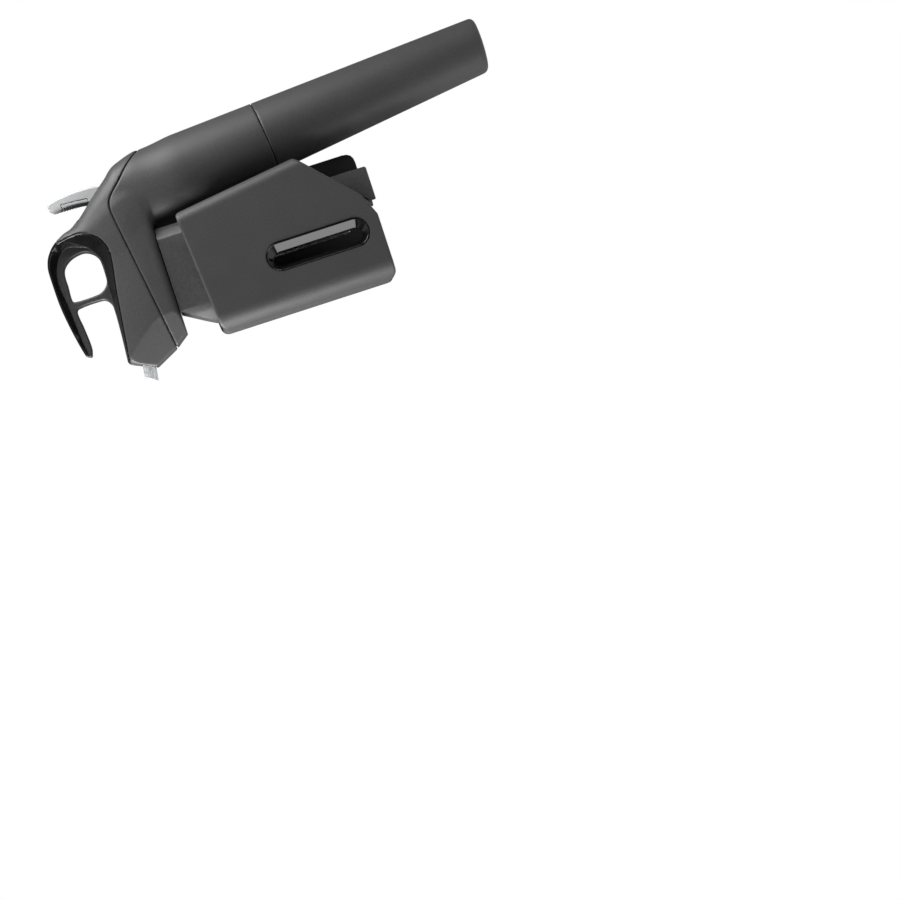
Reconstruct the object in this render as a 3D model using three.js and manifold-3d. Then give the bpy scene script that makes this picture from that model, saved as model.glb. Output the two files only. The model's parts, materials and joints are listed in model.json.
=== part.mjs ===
// Preservation dispenser: neck clamp, sliding head with finger loop, trigger and gas handle.
// Millimetres, +Z up. The origin is the centre of the lip seat, on the needle's axis.
// +X points from the needle towards the handle, and the spout points towards -X.
import * as THREE from 'three';
import { mergeVertices } from 'three/addons/utils/BufferGeometryUtils.js';
import Module from 'manifold-3d';

const wasm = await Module();
wasm.setup();

// Fits and finish sizes
const gap = 0.3;             // between pieces that touch
const runningGap = 0.6;      // between pieces that slide on each other
const overrun = 2;           // how far a cutter reaches past what it cuts
const seamGap = 0.5;         // visible joint between two shells
const weldDistance = 0.0001; // points nearer than this are one point

// Neck that the clamp fits
const lipRadius = 14.75;
const neckRadius = 14.0;

// Head
const headRear = 66;         // needle axis to the back of the head
const headNose = 32.6;       // needle axis to the tip of the nose
const headFloor = 26.5;      // underside above the lip seat
const headRise = 52.2;       // underside to the top of the finger loop
const headHalfWidth = 17.5;
const headEdgeRadius = 4;
const shellWall = 2.6;
const loopTopHalfWidth = 10;
const webHalfThickness = 4.5;

// Handle, along its own leaning axis
const handleLeanDegrees = 5.58; // away from the needle's axis
const handleInset = 12.15;   // back of the head to the middle of the joint with the cup
const seamZ = -36;           // height of that joint
const seamRadius = 16.85;
const handleTaperShare = 0.0344; // radius gained on the way towards the head, per length
const cupWall = 2.95;        // beside the thread
const cupFloor = 7.7;
const threadLength = 13;
const threadLead = 3;
const threadDepth = 0.7;

// Gas capsule
const capsuleRadius = 9.2;
const capsuleLength = 90;
const capsuleWall = 1.6;
const capsuleNeckRadius = 4.3;
const capsuleNeckLength = 8;
const capsuleTopDrop = 6;    // capsule mouth below the joint
const pinRadius = 0.9;

// Clamp
const clampFront = 28.3;     // needle axis to the front wall's outside
const clampRear = 38.6;      // needle axis to the rear corner of the covers
const clampDepth = 75.2;    // lip seat to the frame's lower edge
const coverInset = 1.7;     // frame's lower edge to the covers' lower edge
const collarRise = 15.3;     // lip seat to the covers' top edge
const coverWall = 2.6;
const coverCornerRadius = 9;
const coverSplit = 3;        // gap between the two covers at the front
const lipPadThickness = 2.7;
const lipPadBore = 4;
const sleeveHalfWidth = 15.3;
const sleeveFront = 21.9;
const sleeveChamfer = 9.5;
const sleeveFloor = 3;
const backboneWall = 2.35;   // between the neck's room and the rail's channel
const backboneHalfWidth = 18.2;
const neckClearance = 1.2;
const frameLipHeight = 2.8;
const frameLipFront = 9.5;   // needle axis to the front ends of the frame's lower lip
const frameLipRise = 9.2;    // frame's lower edge to where the lip meets the backbone's front

// Rail
const railBarDepth = 8.7;
const railHeadHalfWidth = 6.7;
const railWebHalfWidth = 4.2;
const railBarHalfWidth = 8;
const railHeadDepth = 3.2;
const railWebDepth = 3.2;
const railEndInset = 3.2;     // frame's lower edge to the end of the rail
const railEndRadius = 5;

// Jaws
const jawPinZ = 6.6;
const jawPinRadius = 1.5;
const jawLugLength = 4;
const padThickness = 2.8;
const carrierThickness = 4.3;
const carrierHalfLength = 15;
const knuckleRadius = 3.2;
const carrierInset = 4.2;     // frame's lower edge to the end of the jaw
const carrierCorner = 7.5;    // cut off the jaw's lower corners
const padHalfLength = 11.5;
const padTop = 7;
const padInset = 5.7;
const slotCentreX = -3.1;
const slotTop = 18.4;
const slotInset = 7.6;        // frame's lower edge to the end of the slot
const slotWidth = 13.4;
const slotRim = 2.7;
const bezelProud = 0.3;

// Needle and manifold
const needleRadius = 0.8;
const needleReach = 62;      // tip below the lip seat
const hubRadius = 5;
const hubDrop = 5.5;         // hub below the head's underside
const nutRadius = 7.3;
const nutHeight = 4;
const manifoldFront = 9;
const manifoldRear = 5.5;
const manifoldHalfWidth = 7;
const guideBore = 8;
const guideHeight = 6;

// Spout
const spoutRadius = 3;
const spoutBore = 2.2;
const spoutRiseDegrees = 7.7; // above the horizontal
const spoutProud = 5.9;
const spoutInsert = 6;
const spoutSlant = 1.2;       // end cut: its lower side reaches this much further, its upper side less
const adapterRadius = 3.4;

// Trigger
const pivotPinRadius = 1.5;
const leverHalfWidth = 7.5;
const leverFlange = 1.7;
const leverEdge = 0.8;

// Regulator and valve, along the handle's axis
const regulatorBore = 8;
const regulatorFloor = 14;    // bottom of the piston's chamber above the joint
const regulatorTop = 43;
const flangeHeight = 5;
const pistonHeight = 6;
const capHeight = 4;
const valveRadius = 8.6;
const valveHeight = 15;
const stemOffset = 3;
const stemRadius = 1.7;
const collarRadius = 3.2;
const collarHeight = 1.5;
const valveTravel = 1.5;
const springWire = 0.35;

// Fasteners
const screwRadius = 1.2;
const screwHeadRadius = 2.3;
const screwHeadHeight = 1.4;

// Places and sizes that follow from those above
const degree = Math.PI / 180;
const lean = handleLeanDegrees * degree;
const seamX = headRear - handleInset;
const handleTop = (headFloor - 0.2 * headRise - seamZ) / Math.cos(lean);
const threadRadius = seamRadius - cupWall - threadDepth - gap;
const regulatorRadius = threadRadius - threadDepth;
const railHeadFront = lipRadius + neckClearance + backboneWall + runningGap;
const railWebFront = railHeadFront + railHeadDepth;
const railBarFront = railWebFront + railWebDepth;
const backboneRear = railBarFront - gap;
const railRear = railBarFront + railBarDepth;
const railLowerEnd = clampDepth - railEndInset;
const carrierInner = neckRadius + padThickness;
const carrierOuter = carrierInner + carrierThickness;
const clampHalfWidth = carrierOuter + gap + coverWall;
const coverDepth = clampDepth - coverInset;
const jawPinOffset = carrierInner + runningGap;
const carrierBottom = clampDepth - carrierInset;
const padBottom = clampDepth - padInset;
const slotBottom = clampDepth - slotInset;

// Materials
const finish = (color, roughness, metalness = 0, opacity = 1) => new THREE.MeshStandardMaterial(
  { color, roughness, metalness, opacity, transparent: opacity < 1 });
const shellPlastic = finish('#4b4b4c', 0.6);
const glossBlack = finish('#161617', 0.12);
const railPlastic = finish('#1b1b1c', 0.4);
const frameGrey = finish('#5a5a5b', 0.6);
const rubber = finish('#1f1f20', 0.9);
const silver = finish('#b4b5b7', 0.35, 0.6);
const steel = finish('#c3c5c8', 0.25, 1);
const brass = finish('#b08d4a', 0.35, 1);
const clear = finish('#e8edf0', 0.08, 0, 0.6);

// Solids and booleans
const solidOf = (geometry) => {
  const bare = geometry.index ? geometry.clone() : geometry;
  bare.deleteAttribute('normal');
  bare.deleteAttribute('uv');
  const merged = mergeVertices(bare, weldDistance);
  const mesh = new wasm.Mesh({
    numProp: 3,
    vertProperties: new Float32Array(merged.attributes.position.array),
    triVerts: new Uint32Array(merged.index.array),
  });
  return new wasm.Manifold(mesh);
};

const geometryOf = (solid) => {
  const mesh = solid.getMesh();
  const geometry = new THREE.BufferGeometry();
  geometry.setAttribute('position', new THREE.BufferAttribute(new Float32Array(mesh.vertProperties), 3));
  geometry.setIndex(new THREE.BufferAttribute(new Uint32Array(mesh.triVerts), 1));
  return geometry;
};

const cut = (first, ...others) => others.reduce((left, other) => left.subtract(other), first);
const join = (first, ...others) => others.reduce((left, other) => left.add(other), first);

// Outline in X and Z, pushed through along Y from y0 to y1, with rounded edges where asked
const shapeOf = (points) => new THREE.Shape(points.map(([x, z]) => new THREE.Vector2(x, z)));

const sidePlate = (points, y0, y1, round = 0, roundSteps = 2) => {
  const depth = Math.abs(y1 - y0) - round - round;
  const settings = { depth, bevelEnabled: round > 0, bevelThickness: round, bevelSize: round,
    bevelOffset: -round, bevelSegments: roundSteps, curveSegments: 6, steps: 1 };
  const geometry = new THREE.ExtrudeGeometry(shapeOf(points), settings);
  geometry.rotateX(Math.PI / 2);
  geometry.translate(0, Math.max(y0, y1) - round, 0);
  return solidOf(geometry);
};

// Outline in X and Y, pushed up from z0 to z1
const column = (points, z0, z1) => {
  const geometry = new THREE.ExtrudeGeometry(shapeOf(points), { depth: z1 - z0, bevelEnabled: false });
  geometry.translate(0, 0, z0);
  return solidOf(geometry);
};

const box = (x0, x1, y0, y1, z0, z1) => {
  const geometry = new THREE.BoxGeometry(x1 - x0, y1 - y0, z1 - z0);
  geometry.translate((x0 + x1) / 2, (y0 + y1) / 2, (z0 + z1) / 2);
  return solidOf(geometry);
};

// Round solid about Z from a profile of radius and height
const turned = (profile, sides = 24, x = 0, y = 0) => {
  const points = profile.map(([radius, height]) => new THREE.Vector2(radius, height));
  const geometry = new THREE.LatheGeometry(points, sides);
  geometry.rotateX(Math.PI / 2);
  geometry.translate(x, y, 0);
  return solidOf(geometry);
};

const rod = (radius, z0, z1, sides = 16, x = 0, y = 0) =>
  turned([[0, z0], [radius, z0], [radius, z1], [0, z1]], sides, x, y);

const tube = (outer, inner, z0, z1, sides = 24, x = 0, y = 0) =>
  turned([[inner, z0], [outer, z0], [outer, z1], [inner, z1], [inner, z0]], sides, x, y);

const placed = (solid, turn, shift) => {
  const geometry = geometryOf(solid);
  geometry.applyMatrix4(turn);
  geometry.translate(...shift);
  return solidOf(geometry);
};

const alongX = new THREE.Matrix4().makeRotationY(Math.PI / 2);
const alongY = new THREE.Matrix4().makeRotationX(-Math.PI / 2);

// Solid between two outlines that have as many points, one at y0 and one at y1
const wedge = (near, far, y0, y1) => {
  const count = near.length;
  const positions = [];
  near.forEach(([x, z]) => positions.push(x, y0, z));
  far.forEach(([x, z]) => positions.push(x, y1, z));
  const faces = [];
  const caps = THREE.ShapeUtils.triangulateShape(near.map(([x, z]) => new THREE.Vector2(x, z)), []);
  caps.forEach(([a, b, c]) => faces.push(a, b, c, c + count, b + count, a + count));
  for (let i = 0; i < count; i += 1) {
    const next = (i + 1) % count;
    faces.push(i, i + count, next, next, i + count, next + count);
  }
  return facesOut(positions, faces);
};

// Closed solid from points and faces, turned right side out
const facesOut = (positions, faces) => {
  const corner = (index) => new THREE.Vector3().fromArray(positions, 3 * index);
  let volume = 0;
  for (let i = 0; i < faces.length; i += 3) {
    volume += corner(faces[i]).dot(corner(faces[i + 1]).cross(corner(faces[i + 2])));
  }
  const geometry = new THREE.BufferGeometry();
  geometry.setAttribute('position', new THREE.Float32BufferAttribute(positions, 3));
  geometry.setIndex(volume < 0 ? faces.reverse() : faces);
  return solidOf(geometry);
};

// Tube of round wire along a list of points
const wire = (points, radius, sides = 5) => {
  const positions = [];
  const faces = [];
  let side = new THREE.Vector3(0, 0, 1);
  points.forEach((point, i) => {
    const before = points[Math.max(i - 1, 0)];
    const after = points[Math.min(i + 1, points.length - 1)];
    const along = after.clone().sub(before).normalize();
    if (Math.abs(side.dot(along)) > 0.99) side.set(1, 0, 0);
    side = side.clone().addScaledVector(along, -side.dot(along)).normalize();
    const other = along.clone().cross(side);
    for (let k = 0; k < sides; k += 1) {
      const angle = 2 * Math.PI * k / sides;
      const spot = point.clone().addScaledVector(side, radius * Math.cos(angle));
      spot.addScaledVector(other, radius * Math.sin(angle));
      positions.push(spot.x, spot.y, spot.z);
    }
  });
  const last = (points.length - 1) * sides;
  for (let i = 0; i < last; i += sides) {
    for (let k = 0; k < sides; k += 1) {
      const next = (k + 1) % sides;
      faces.push(i + k, i + next, i + sides + k, i + next, i + sides + next, i + sides + k);
    }
  }
  for (let k = 1; k < sides - 1; k += 1) {
    faces.push(0, k + 1, k, last, last + k, last + k + 1);
  }
  return facesOut(positions, faces);
};

// Points of a helix about Z
const helix = (radius, z0, z1, turns, stepsPerTurn = 8) => {
  const points = [];
  const steps = Math.round(turns * stepsPerTurn);
  for (let i = 0; i <= steps; i += 1) {
    const angle = 2 * Math.PI * i / stepsPerTurn;
    const height = z0 + (z1 - z0) * i / steps;
    points.push(new THREE.Vector3(radius * Math.cos(angle), radius * Math.sin(angle), height));
  }
  return points;
};

// Rounded end points for an outline: replaces a corner by an arc of the radius
const rounded = (points, radii, steps = 4) => {
  const result = [];
  points.forEach(([x, z], i) => {
    const radius = radii[i] || 0;
    if (!radius) {
      result.push([x, z]);
      return;
    }
    const before = points[(i + points.length - 1) % points.length];
    const after = points[(i + 1) % points.length];
    const corner = new THREE.Vector2(x, z);
    const towards = new THREE.Vector2(...before).sub(corner).normalize();
    const away = new THREE.Vector2(...after).sub(corner).normalize();
    const half = Math.acos(THREE.MathUtils.clamp(towards.dot(away), -1, 1)) / 2;
    const reach = radius / Math.tan(half);
    const start = corner.clone().addScaledVector(towards, reach);
    const end = corner.clone().addScaledVector(away, reach);
    const curve = new THREE.QuadraticBezierCurve(start, corner, end);
    curve.getPoints(steps).forEach((spot) => result.push([spot.x, spot.y]));
  });
  return result;
};

const parts = new THREE.Group();
const handleGroup = new THREE.Group();
handleGroup.position.set(seamX, 0, seamZ);
handleGroup.rotation.y = -lean;
parts.add(handleGroup);

const add = (name, solid, material, group = parts) => {
  const mesh = new THREE.Mesh(geometryOf(solid), material);
  mesh.name = name;
  group.add(mesh);
};

// From the part's frame to the handle's frame
const toHandle = (solid) => {
  const geometry = geometryOf(solid);
  geometry.translate(-seamX, 0, -seamZ);
  geometry.applyMatrix4(new THREE.Matrix4().makeRotationY(lean));
  return solidOf(geometry);
};

// Head: places are shares of its reach to the rear or the nose, and of its rise above the underside
const headPoint = ([alongShare, upShare]) => [
  alongShare > 0 ? alongShare * headRear : alongShare * headNose,
  headFloor + upShare * headRise,
];
const headPoints = (shares) => shares.map(headPoint);
const [pivotX, pivotZ] = headPoint([0.765, 0.287]);
const [spoutX, spoutZ] = headPoint([-0.963, 0.412]);
const manifoldTop = headPoint([0, 0.39])[1];

const frontShares = [
  [0.62, 0], [0.72, 0.12], [0.66, 0.36], [0.6, 0.5], [0.566, 0.66], [0.585, 0.75], [0.564, 0.826],
  [0.523, 0.9], [0.479, 0.948], [0.441, 0.975], [0.379, 0.997], [0.277, 1], [0.118, 0.996],
  [-0.07, 0.973], [-0.387, 0.939], [-0.59, 0.912], [-0.834, 0.579],
  [-1, 0.343], [-0.828, 0.13], [-0.67, 0],
];
// Level, rear edge, front edge, and half width of the rear of the head, then how square it is
const rearShares = [
  [-0.04, 1, 0.44, 1.01, 2.2], [0.03, 0.975, 0.42, 1, 2.5], [0.1, 0.953, 0.38, 1, 2.8],
  [0.186, 0.925, 0.34, 1, 3.1], [0.278, 0.873, 0.3, 0.98, 3.2], [0.42, 0.783, 0.28, 0.92, 3.2],
  [0.578, 0.676, 0.26, 0.82, 3.2], [0.67, 0.624, 0.26, 0.75, 3], [0.8, 0.57, 0.3, 0.66, 2.8],
];
const seamShares = [
  [1.06, -0.13], [0.968, -0.06], [0.897, 0.071], [0.779, 0.211], [0.74, 0.256], [0.697, 0.289],
  [0.65, 0.308], [0.6, 0.308], [0.54, 0.3], [-0.847, 0.144], [-1.2, 0.105],
];
const insertSeatShares = [
  [0.7, 0.86], [0.558, 0.852], [0.54, 0.822], [0.549, 0.713], [0.545, 0.603], [0.491, 0.498],
  [0.408, 0.435], [0.347, 0.418], [0.195, 0.437], [-0.19, 0.487], [-0.84, 0.55], [-1.2, 0.585],
];
const windowShares = [
  [0.427, 0.655], [0.42, 0.74], [0.405, 0.79], [0.378, 0.838], [0.345, 0.866], [0.3, 0.876],
  [0.241, 0.876], [0.135, 0.881], [0.113, 0.858], [0.113, 0.655], [0.125, 0.6], [0.153, 0.556],
  [0.182, 0.536], [0.24, 0.53], [0.315, 0.531], [0.365, 0.546], [0.405, 0.59],
];
const mouthShares = [
  [0.07, 0.633], [0.064, 0.847], [0.041, 0.87], [-0.129, 0.856], [-0.393, 0.839], [-0.51, 0.833],
  [-0.72, 0.87], [-1.3, 0.87], [-1.3, 0.6], [-0.834, 0.582], [-0.42, 0.561], [-0.015, 0.55],
  [0.03, 0.563], [0.058, 0.59],
];
const webShares = [
  [-1.2, 0.595], [-0.417, 0.563], [-0.006, 0.542], [0.162, 0.533], [0.329, 0.519], [0.435, 0.586],
  [0.467, 0.661], [0.491, 0.778], [0.452, 0.856], [0.358, 0.923], [0.258, 0.944], [0.129, 0.927],
  [-0.067, 0.91], [-0.439, 0.893], [-0.9, 0.85],
];
const recessShares = [
  [-1.2, 0.58], [-0.417, 0.508], [-0.006, 0.471], [0.162, 0.441], [0.371, 0.421], [0.491, 0.498],
  [0.547, 0.623], [0.539, 0.795], [0.561, 1.002], [0.402, 1.08], [0.289, 1.061], [0.129, 1.073],
  [-0.071, 1.042], [-0.552, 0.958], [-1.3, 0.9],
];

// Outline drawn in by an inset, each point moved square to its neighbours
const drawnIn = (points, inset) => points.map(([x, z], i) => {
  const [x0, z0] = points[(i + points.length - 1) % points.length];
  const [x1, z1] = points[(i + 1) % points.length];
  const length = Math.hypot(x1 - x0, z1 - z0);
  return [x - inset * (z1 - z0) / length, z + inset * (x1 - x0) / length];
});

// Closed skin over rings that have as many points each
const skin = (rings) => {
  const sides = rings[0].length;
  const positions = rings.flat().flat();
  const faces = [];
  for (let i = 0; i < (rings.length - 1) * sides; i += sides) {
    for (let k = 0; k < sides; k += 1) {
      const next = (k + 1) % sides;
      faces.push(i + k, i + next, i + sides + k, i + next, i + sides + next, i + sides + k);
    }
  }
  const top = (rings.length - 1) * sides;
  for (let k = 1; k < sides - 1; k += 1) {
    faces.push(0, k + 1, k, top, top + k, top + k + 1);
  }
  return facesOut(positions, faces);
};

// Ring of a round or squarish section in the part's frame
const handleSides = 36;
const section = (centreX, centreZ, reachX, reachY, square, tilt) => {
  const ring = [];
  for (let k = 0; k < handleSides; k += 1) {
    const angle = 2 * Math.PI * k / handleSides;
    const [c, s] = [Math.cos(angle), Math.sin(angle)];
    const x = reachX * Math.sign(c) * Math.abs(c) ** (2 / square);
    const y = reachY * Math.sign(s) * Math.abs(s) ** (2 / square);
    ring.push([centreX + x * Math.cos(tilt), y, centreZ + x * Math.sin(tilt)]);
  }
  return ring;
};

// Handle: round sections along its leaning axis, then the rear of the head
const handleRing = (z, inset) => {
  const radius = seamRadius + handleTaperShare * z - inset;
  return section(seamX - z * Math.sin(lean), seamZ + z * Math.cos(lean), radius, radius, 2, lean);
};
const rearLoft = (inset, z0, z1) => {
  const rings = [handleRing(z0, inset), handleRing(z1, inset)];
  rearShares.forEach(([level, rear, front, width, square], i) => {
    const [rearX, ringZ] = headPoint([rear, level]);
    const [frontX] = headPoint([front, level]);
    const drop = i === rearShares.length - 1 ? inset : 0;
    rings.push(section((rearX + frontX) / 2, ringZ - drop, (rearX - frontX) / 2 - inset,
      width * headHalfWidth - inset, square, 0));
  });
  return skin(rings);
};

// Narrowing of the head towards its top, and the facets beside the nose
const topTaper = (inset) => {
  const halfOutline = [[headHalfWidth - inset, -headRise],
    [headHalfWidth - inset, headFloor + 0.22 * headRise],
    [0.8 * headHalfWidth - inset, headFloor + 0.565 * headRise],
    [loopTopHalfWidth - inset, headFloor + 1.02 * headRise]];
  const mirror = halfOutline.map(([y, z]) => [-y, z]).reverse();
  const solid = sidePlate([...halfOutline, ...mirror], -headRear - overrun, headRear + overrun);
  return placed(solid, new THREE.Matrix4().makeRotationZ(Math.PI / 2), [0, 0, 0]);
};

// Block that fills everything on the outer side of the plane through three points
const beyond = (points, inside, size) => {
  const [a, b, c] = points.map((point) => new THREE.Vector3(...point));
  const normal = b.clone().sub(a).cross(c.clone().sub(a)).normalize();
  if (normal.dot(new THREE.Vector3(...inside).sub(a)) > 0) normal.negate();
  const geometry = new THREE.BoxGeometry(size, size, size);
  const turn = new THREE.Quaternion().setFromUnitVectors(new THREE.Vector3(0, 0, 1), normal);
  geometry.applyQuaternion(turn);
  const centre = a.clone().addScaledVector(normal, size / 2);
  geometry.translate(centre.x, centre.y, centre.z);
  return solidOf(geometry);
};

const facetApexShare = [-0.374, 0.203];
const facetSideShare = 0.966;    // of the head's half width, where the crease starts
const facetUpperShare = 0.72;
const facetNoseShare = 0.55;
const facetFootShare = 0.597;
const noseFacet = (side, inset) => {
  const [creaseX, creaseZ] = headPoint(facetApexShare);
  const [upperX, upperZ] = headPoint([-0.844, 0.523]);
  const [tipX, tipZ] = headPoint([-0.98, 0.335]);
  const sideY = side * (facetSideShare * headHalfWidth - inset);
  const upperY = side * (facetUpperShare * headHalfWidth - inset);
  const noseY = side * (facetNoseShare * headHalfWidth - inset);
  return beyond([[creaseX, sideY, creaseZ], [upperX, upperY, upperZ], [tipX, noseY, tipZ]],
    [0, 0, headFloor], 2 * headRear);
};
const chinFacet = (side, inset) => {
  const [creaseX, creaseZ] = headPoint(facetApexShare);
  const [footX, footZ] = headPoint([-0.33, 0]);
  const [chinX, chinZ] = headPoint([-0.822, 0.125]);
  const sideY = side * (facetSideShare * headHalfWidth - inset);
  const chinY = side * (facetFootShare * headHalfWidth - inset);
  return beyond([[creaseX, sideY, creaseZ], [footX, sideY, footZ], [chinX, chinY, chinZ]],
    [0, 0, headFloor], 2 * headRear);
};

// Side regions of the head, as tall plates
const headDepth = 2 * headHalfWidth;
const aboveSeam = (shift) => sidePlate([...headPoints(seamShares).map(([x, z]) => [x, z + shift]),
  [-2 * headNose, headFloor + 2 * headRise], [1.2 * headRear, headFloor + 2 * headRise]],
-headDepth, headDepth);
const belowSeam = (shift) => cut(box(-2 * headNose, 1.3 * headRear, -headDepth, headDepth,
  -2 * clampDepth, headFloor + headRise), aboveSeam(shift));
const aboveSeat = (inset) => sidePlate(drawnIn([...headPoints(insertSeatShares),
  [-2 * headNose, headFloor + 2 * headRise], [0.7 * headRear, headFloor + 2 * headRise]], -inset),
-headDepth, headDepth);

const headBlock = (inset) => {
  const outline = drawnIn(headPoints(frontShares), inset);
  const round = headEdgeRadius - inset;
  const block = sidePlate(outline, -headHalfWidth + inset, headHalfWidth - inset, round);
  return block.intersect(topTaper(inset));
};

const headOuter = join(headBlock(0), rearLoft(0, seamGap / 2, handleTop));
const facets = (inset) => [1, -1].map((side) => noseFacet(side, inset).intersect(chinFacet(side, inset)));
const headInner = cut(join(headBlock(shellWall), rearLoft(shellWall, -overrun, handleTop)),
  ...facets(shellWall));

// Openings of the two shells
const acrossAt = (solid, x, z) => placed(solid, alongY, [x, 0, z]);
const pinHalfLength = 0.76 * headHalfWidth;
const pinSocket = acrossAt(rod(pivotPinRadius + gap, -pinHalfLength - gap, pinHalfLength + gap, 16),
  pivotX, pivotZ);
const floorBore = rod(hubRadius + gap, headFloor - overrun, headFloor + shellWall + overrun, 24);
const spoutTurn = new THREE.Matrix4().makeRotationY(-Math.PI / 2 + spoutRiseDegrees * degree);
const fromSpout = (solid) => placed(solid, spoutTurn, [spoutX, 0, spoutZ]);
const spoutHole = fromSpout(rod(spoutRadius + gap, -spoutInsert, spoutProud, 20));
const leverSlot = box(pivotX - 0.13 * headRear, headRear, -leverHalfWidth - gap - gap,
  leverHalfWidth + gap + gap, pivotZ - 0.03 * headRise, headFloor + 0.6 * headRise);

const mainShell = () => cut(headOuter.intersect(belowSeam(-seamGap / 2)), headInner,
  ...facets(0), floorBore, railScrewHole(1), railScrewHole(-1));

const noseShell = () => {
  const region = headOuter.intersect(aboveSeam(seamGap / 2));
  const hollow = cut(headInner, aboveSeat(-shellWall));
  return cut(region, hollow, aboveSeat(0), ...facets(0), spoutHole, leverSlot, pinSocket);
};

const loopRecess = (side) => wedge(headPoints(webShares), headPoints(recessShares),
  side * webHalfThickness, side * (headHalfWidth + 1.5 * headEdgeRadius));
const tailTaper = (side) => {
  const start = 0.15 * headRear;
  const near = 0.86 * loopTopHalfWidth;
  const tip = 0.5 * loopTopHalfWidth;
  const wide = headHalfWidth + overrun;
  const z0 = headFloor + 0.72 * headRise;
  const points = [[start, side * (near + overrun)], [0, side * near], [-0.6 * headNose, side * tip],
    [-headNose, side * tip], [-headNose, side * wide], [start, side * wide]];
  return column(points, z0, headFloor + headRise + overrun);
};
const gripInsert = () => {
  const region = headOuter.intersect(aboveSeat(gap));
  const window = sidePlate(headPoints(windowShares), -headDepth, headDepth);
  const mouth = sidePlate(headPoints(mouthShares), -headDepth, headDepth);
  return cut(region, window, mouth, loopRecess(1), loopRecess(-1), tailTaper(1), tailTaper(-1),
    ...facets(0));
};

// Rail: a head that runs in the backbone, a web, and a bar behind
const railProfile = (grow) => [
  [railHeadFront - grow, -railHeadHalfWidth - grow], [railWebFront + grow, -railHeadHalfWidth - grow],
  [railWebFront + grow, -railWebHalfWidth - grow], [railBarFront, -railWebHalfWidth - grow],
  [railBarFront, -railBarHalfWidth], [railRear, -railBarHalfWidth], [railRear, railBarHalfWidth],
  [railBarFront, railBarHalfWidth], [railBarFront, railWebHalfWidth + grow],
  [railWebFront + grow, railWebHalfWidth + grow], [railWebFront + grow, railHeadHalfWidth + grow],
  [railHeadFront - grow, railHeadHalfWidth + grow],
];
const railTop = headFloor - gap;
const railScrewDepth = 8;
const railScrewX = railHeadFront + 2 * screwRadius;
const railScrewSpacingShare = 0.5;
const railScrewHole = (side) => rod(screwRadius + gap, headFloor - overrun,
  headFloor + shellWall + overrun, 10, railScrewX, side * railScrewSpacingShare * railHeadHalfWidth);
const guideRail = () => {
  const bar = column(railProfile(0), -railLowerEnd, railTop);
  const end = rounded([[railRear, -railLowerEnd], [railRear, 0], [0, 0], [0, -railLowerEnd]],
    [railEndRadius, 0, 0, 0]);
  const foot = sidePlate(end, -railBarHalfWidth, railBarHalfWidth);
  const lower = join(foot, box(-overrun, railRear + overrun, -headDepth, headDepth,
    0, headFloor + overrun));
  const handle = rearLoft(-gap, -railLowerEnd, handleTop);
  const rim = headBlock(-gap);
  const holes = [1, -1].map((side) => rod(screwRadius + gap, railTop - railScrewDepth, railTop + overrun,
    10, railScrewX, side * railScrewSpacingShare * railHeadHalfWidth));
  return cut(bar.intersect(lower), handle, rim, ...holes);
};
const railScrew = (side) => {
  const y = side * railScrewSpacingShare * railHeadHalfWidth;
  const seat = headFloor + shellWall + gap;
  return turned([[0, railTop - railScrewDepth + gap], [screwRadius, railTop - railScrewDepth + gap],
    [screwRadius, seat], [screwHeadRadius, seat], [screwHeadRadius, seat + screwHeadHeight],
    [0, seat + screwHeadHeight]], 10, railScrewX, y);
};

// Needle, hub and manifold
const hubTop = headFloor + shellWall;
const needle = () => turned([[0, -needleReach], [needleRadius, -needleReach + 5 * needleRadius],
  [needleRadius, hubTop - gap], [0, hubTop - gap]], 10);
const needleHub = () => tube(hubRadius, needleRadius + gap, headFloor - hubDrop, hubTop, 24);
const nutTop = headFloor - 3 * gap;
const needleNut = () => tube(nutRadius, hubRadius + gap, nutTop - nutHeight, nutTop, 12);
const hubSeal = () => tube(nutRadius - gap, hubRadius + gap, nutTop + gap / 2, headFloor - gap / 2, 20);
const manifoldBlock = () => box(-manifoldFront, manifoldRear, -manifoldHalfWidth, manifoldHalfWidth,
  hubTop + gap, manifoldTop);

// Spout, built along its own axis
const spoutTip = () => {
  const beyondEnd = [[-spoutRadius, spoutProud + spoutSlant], [spoutRadius, spoutProud - spoutSlant],
    [spoutRadius + overrun, spoutProud - spoutSlant], [spoutRadius + overrun, 2 * spoutProud],
    [-spoutRadius - overrun, 2 * spoutProud], [-spoutRadius - overrun, spoutProud + spoutSlant]];
  const full = tube(spoutRadius, spoutBore, -spoutInsert, spoutProud + overrun, 24);
  return fromSpout(cut(full, sidePlate(beyondEnd, -2 * spoutRadius, 2 * spoutRadius)));
};
const spoutRoot = -(-spoutX - manifoldFront - overrun / 2) / Math.cos(spoutRiseDegrees * degree);
const spoutAdapter = () => fromSpout(tube(adapterRadius, spoutBore, spoutRoot,
  -spoutInsert - 4 * gap, 20));
const spoutSeal = () => fromSpout(tube(adapterRadius - gap, spoutBore, -spoutInsert - 3 * gap,
  -spoutInsert - gap, 20));

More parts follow.
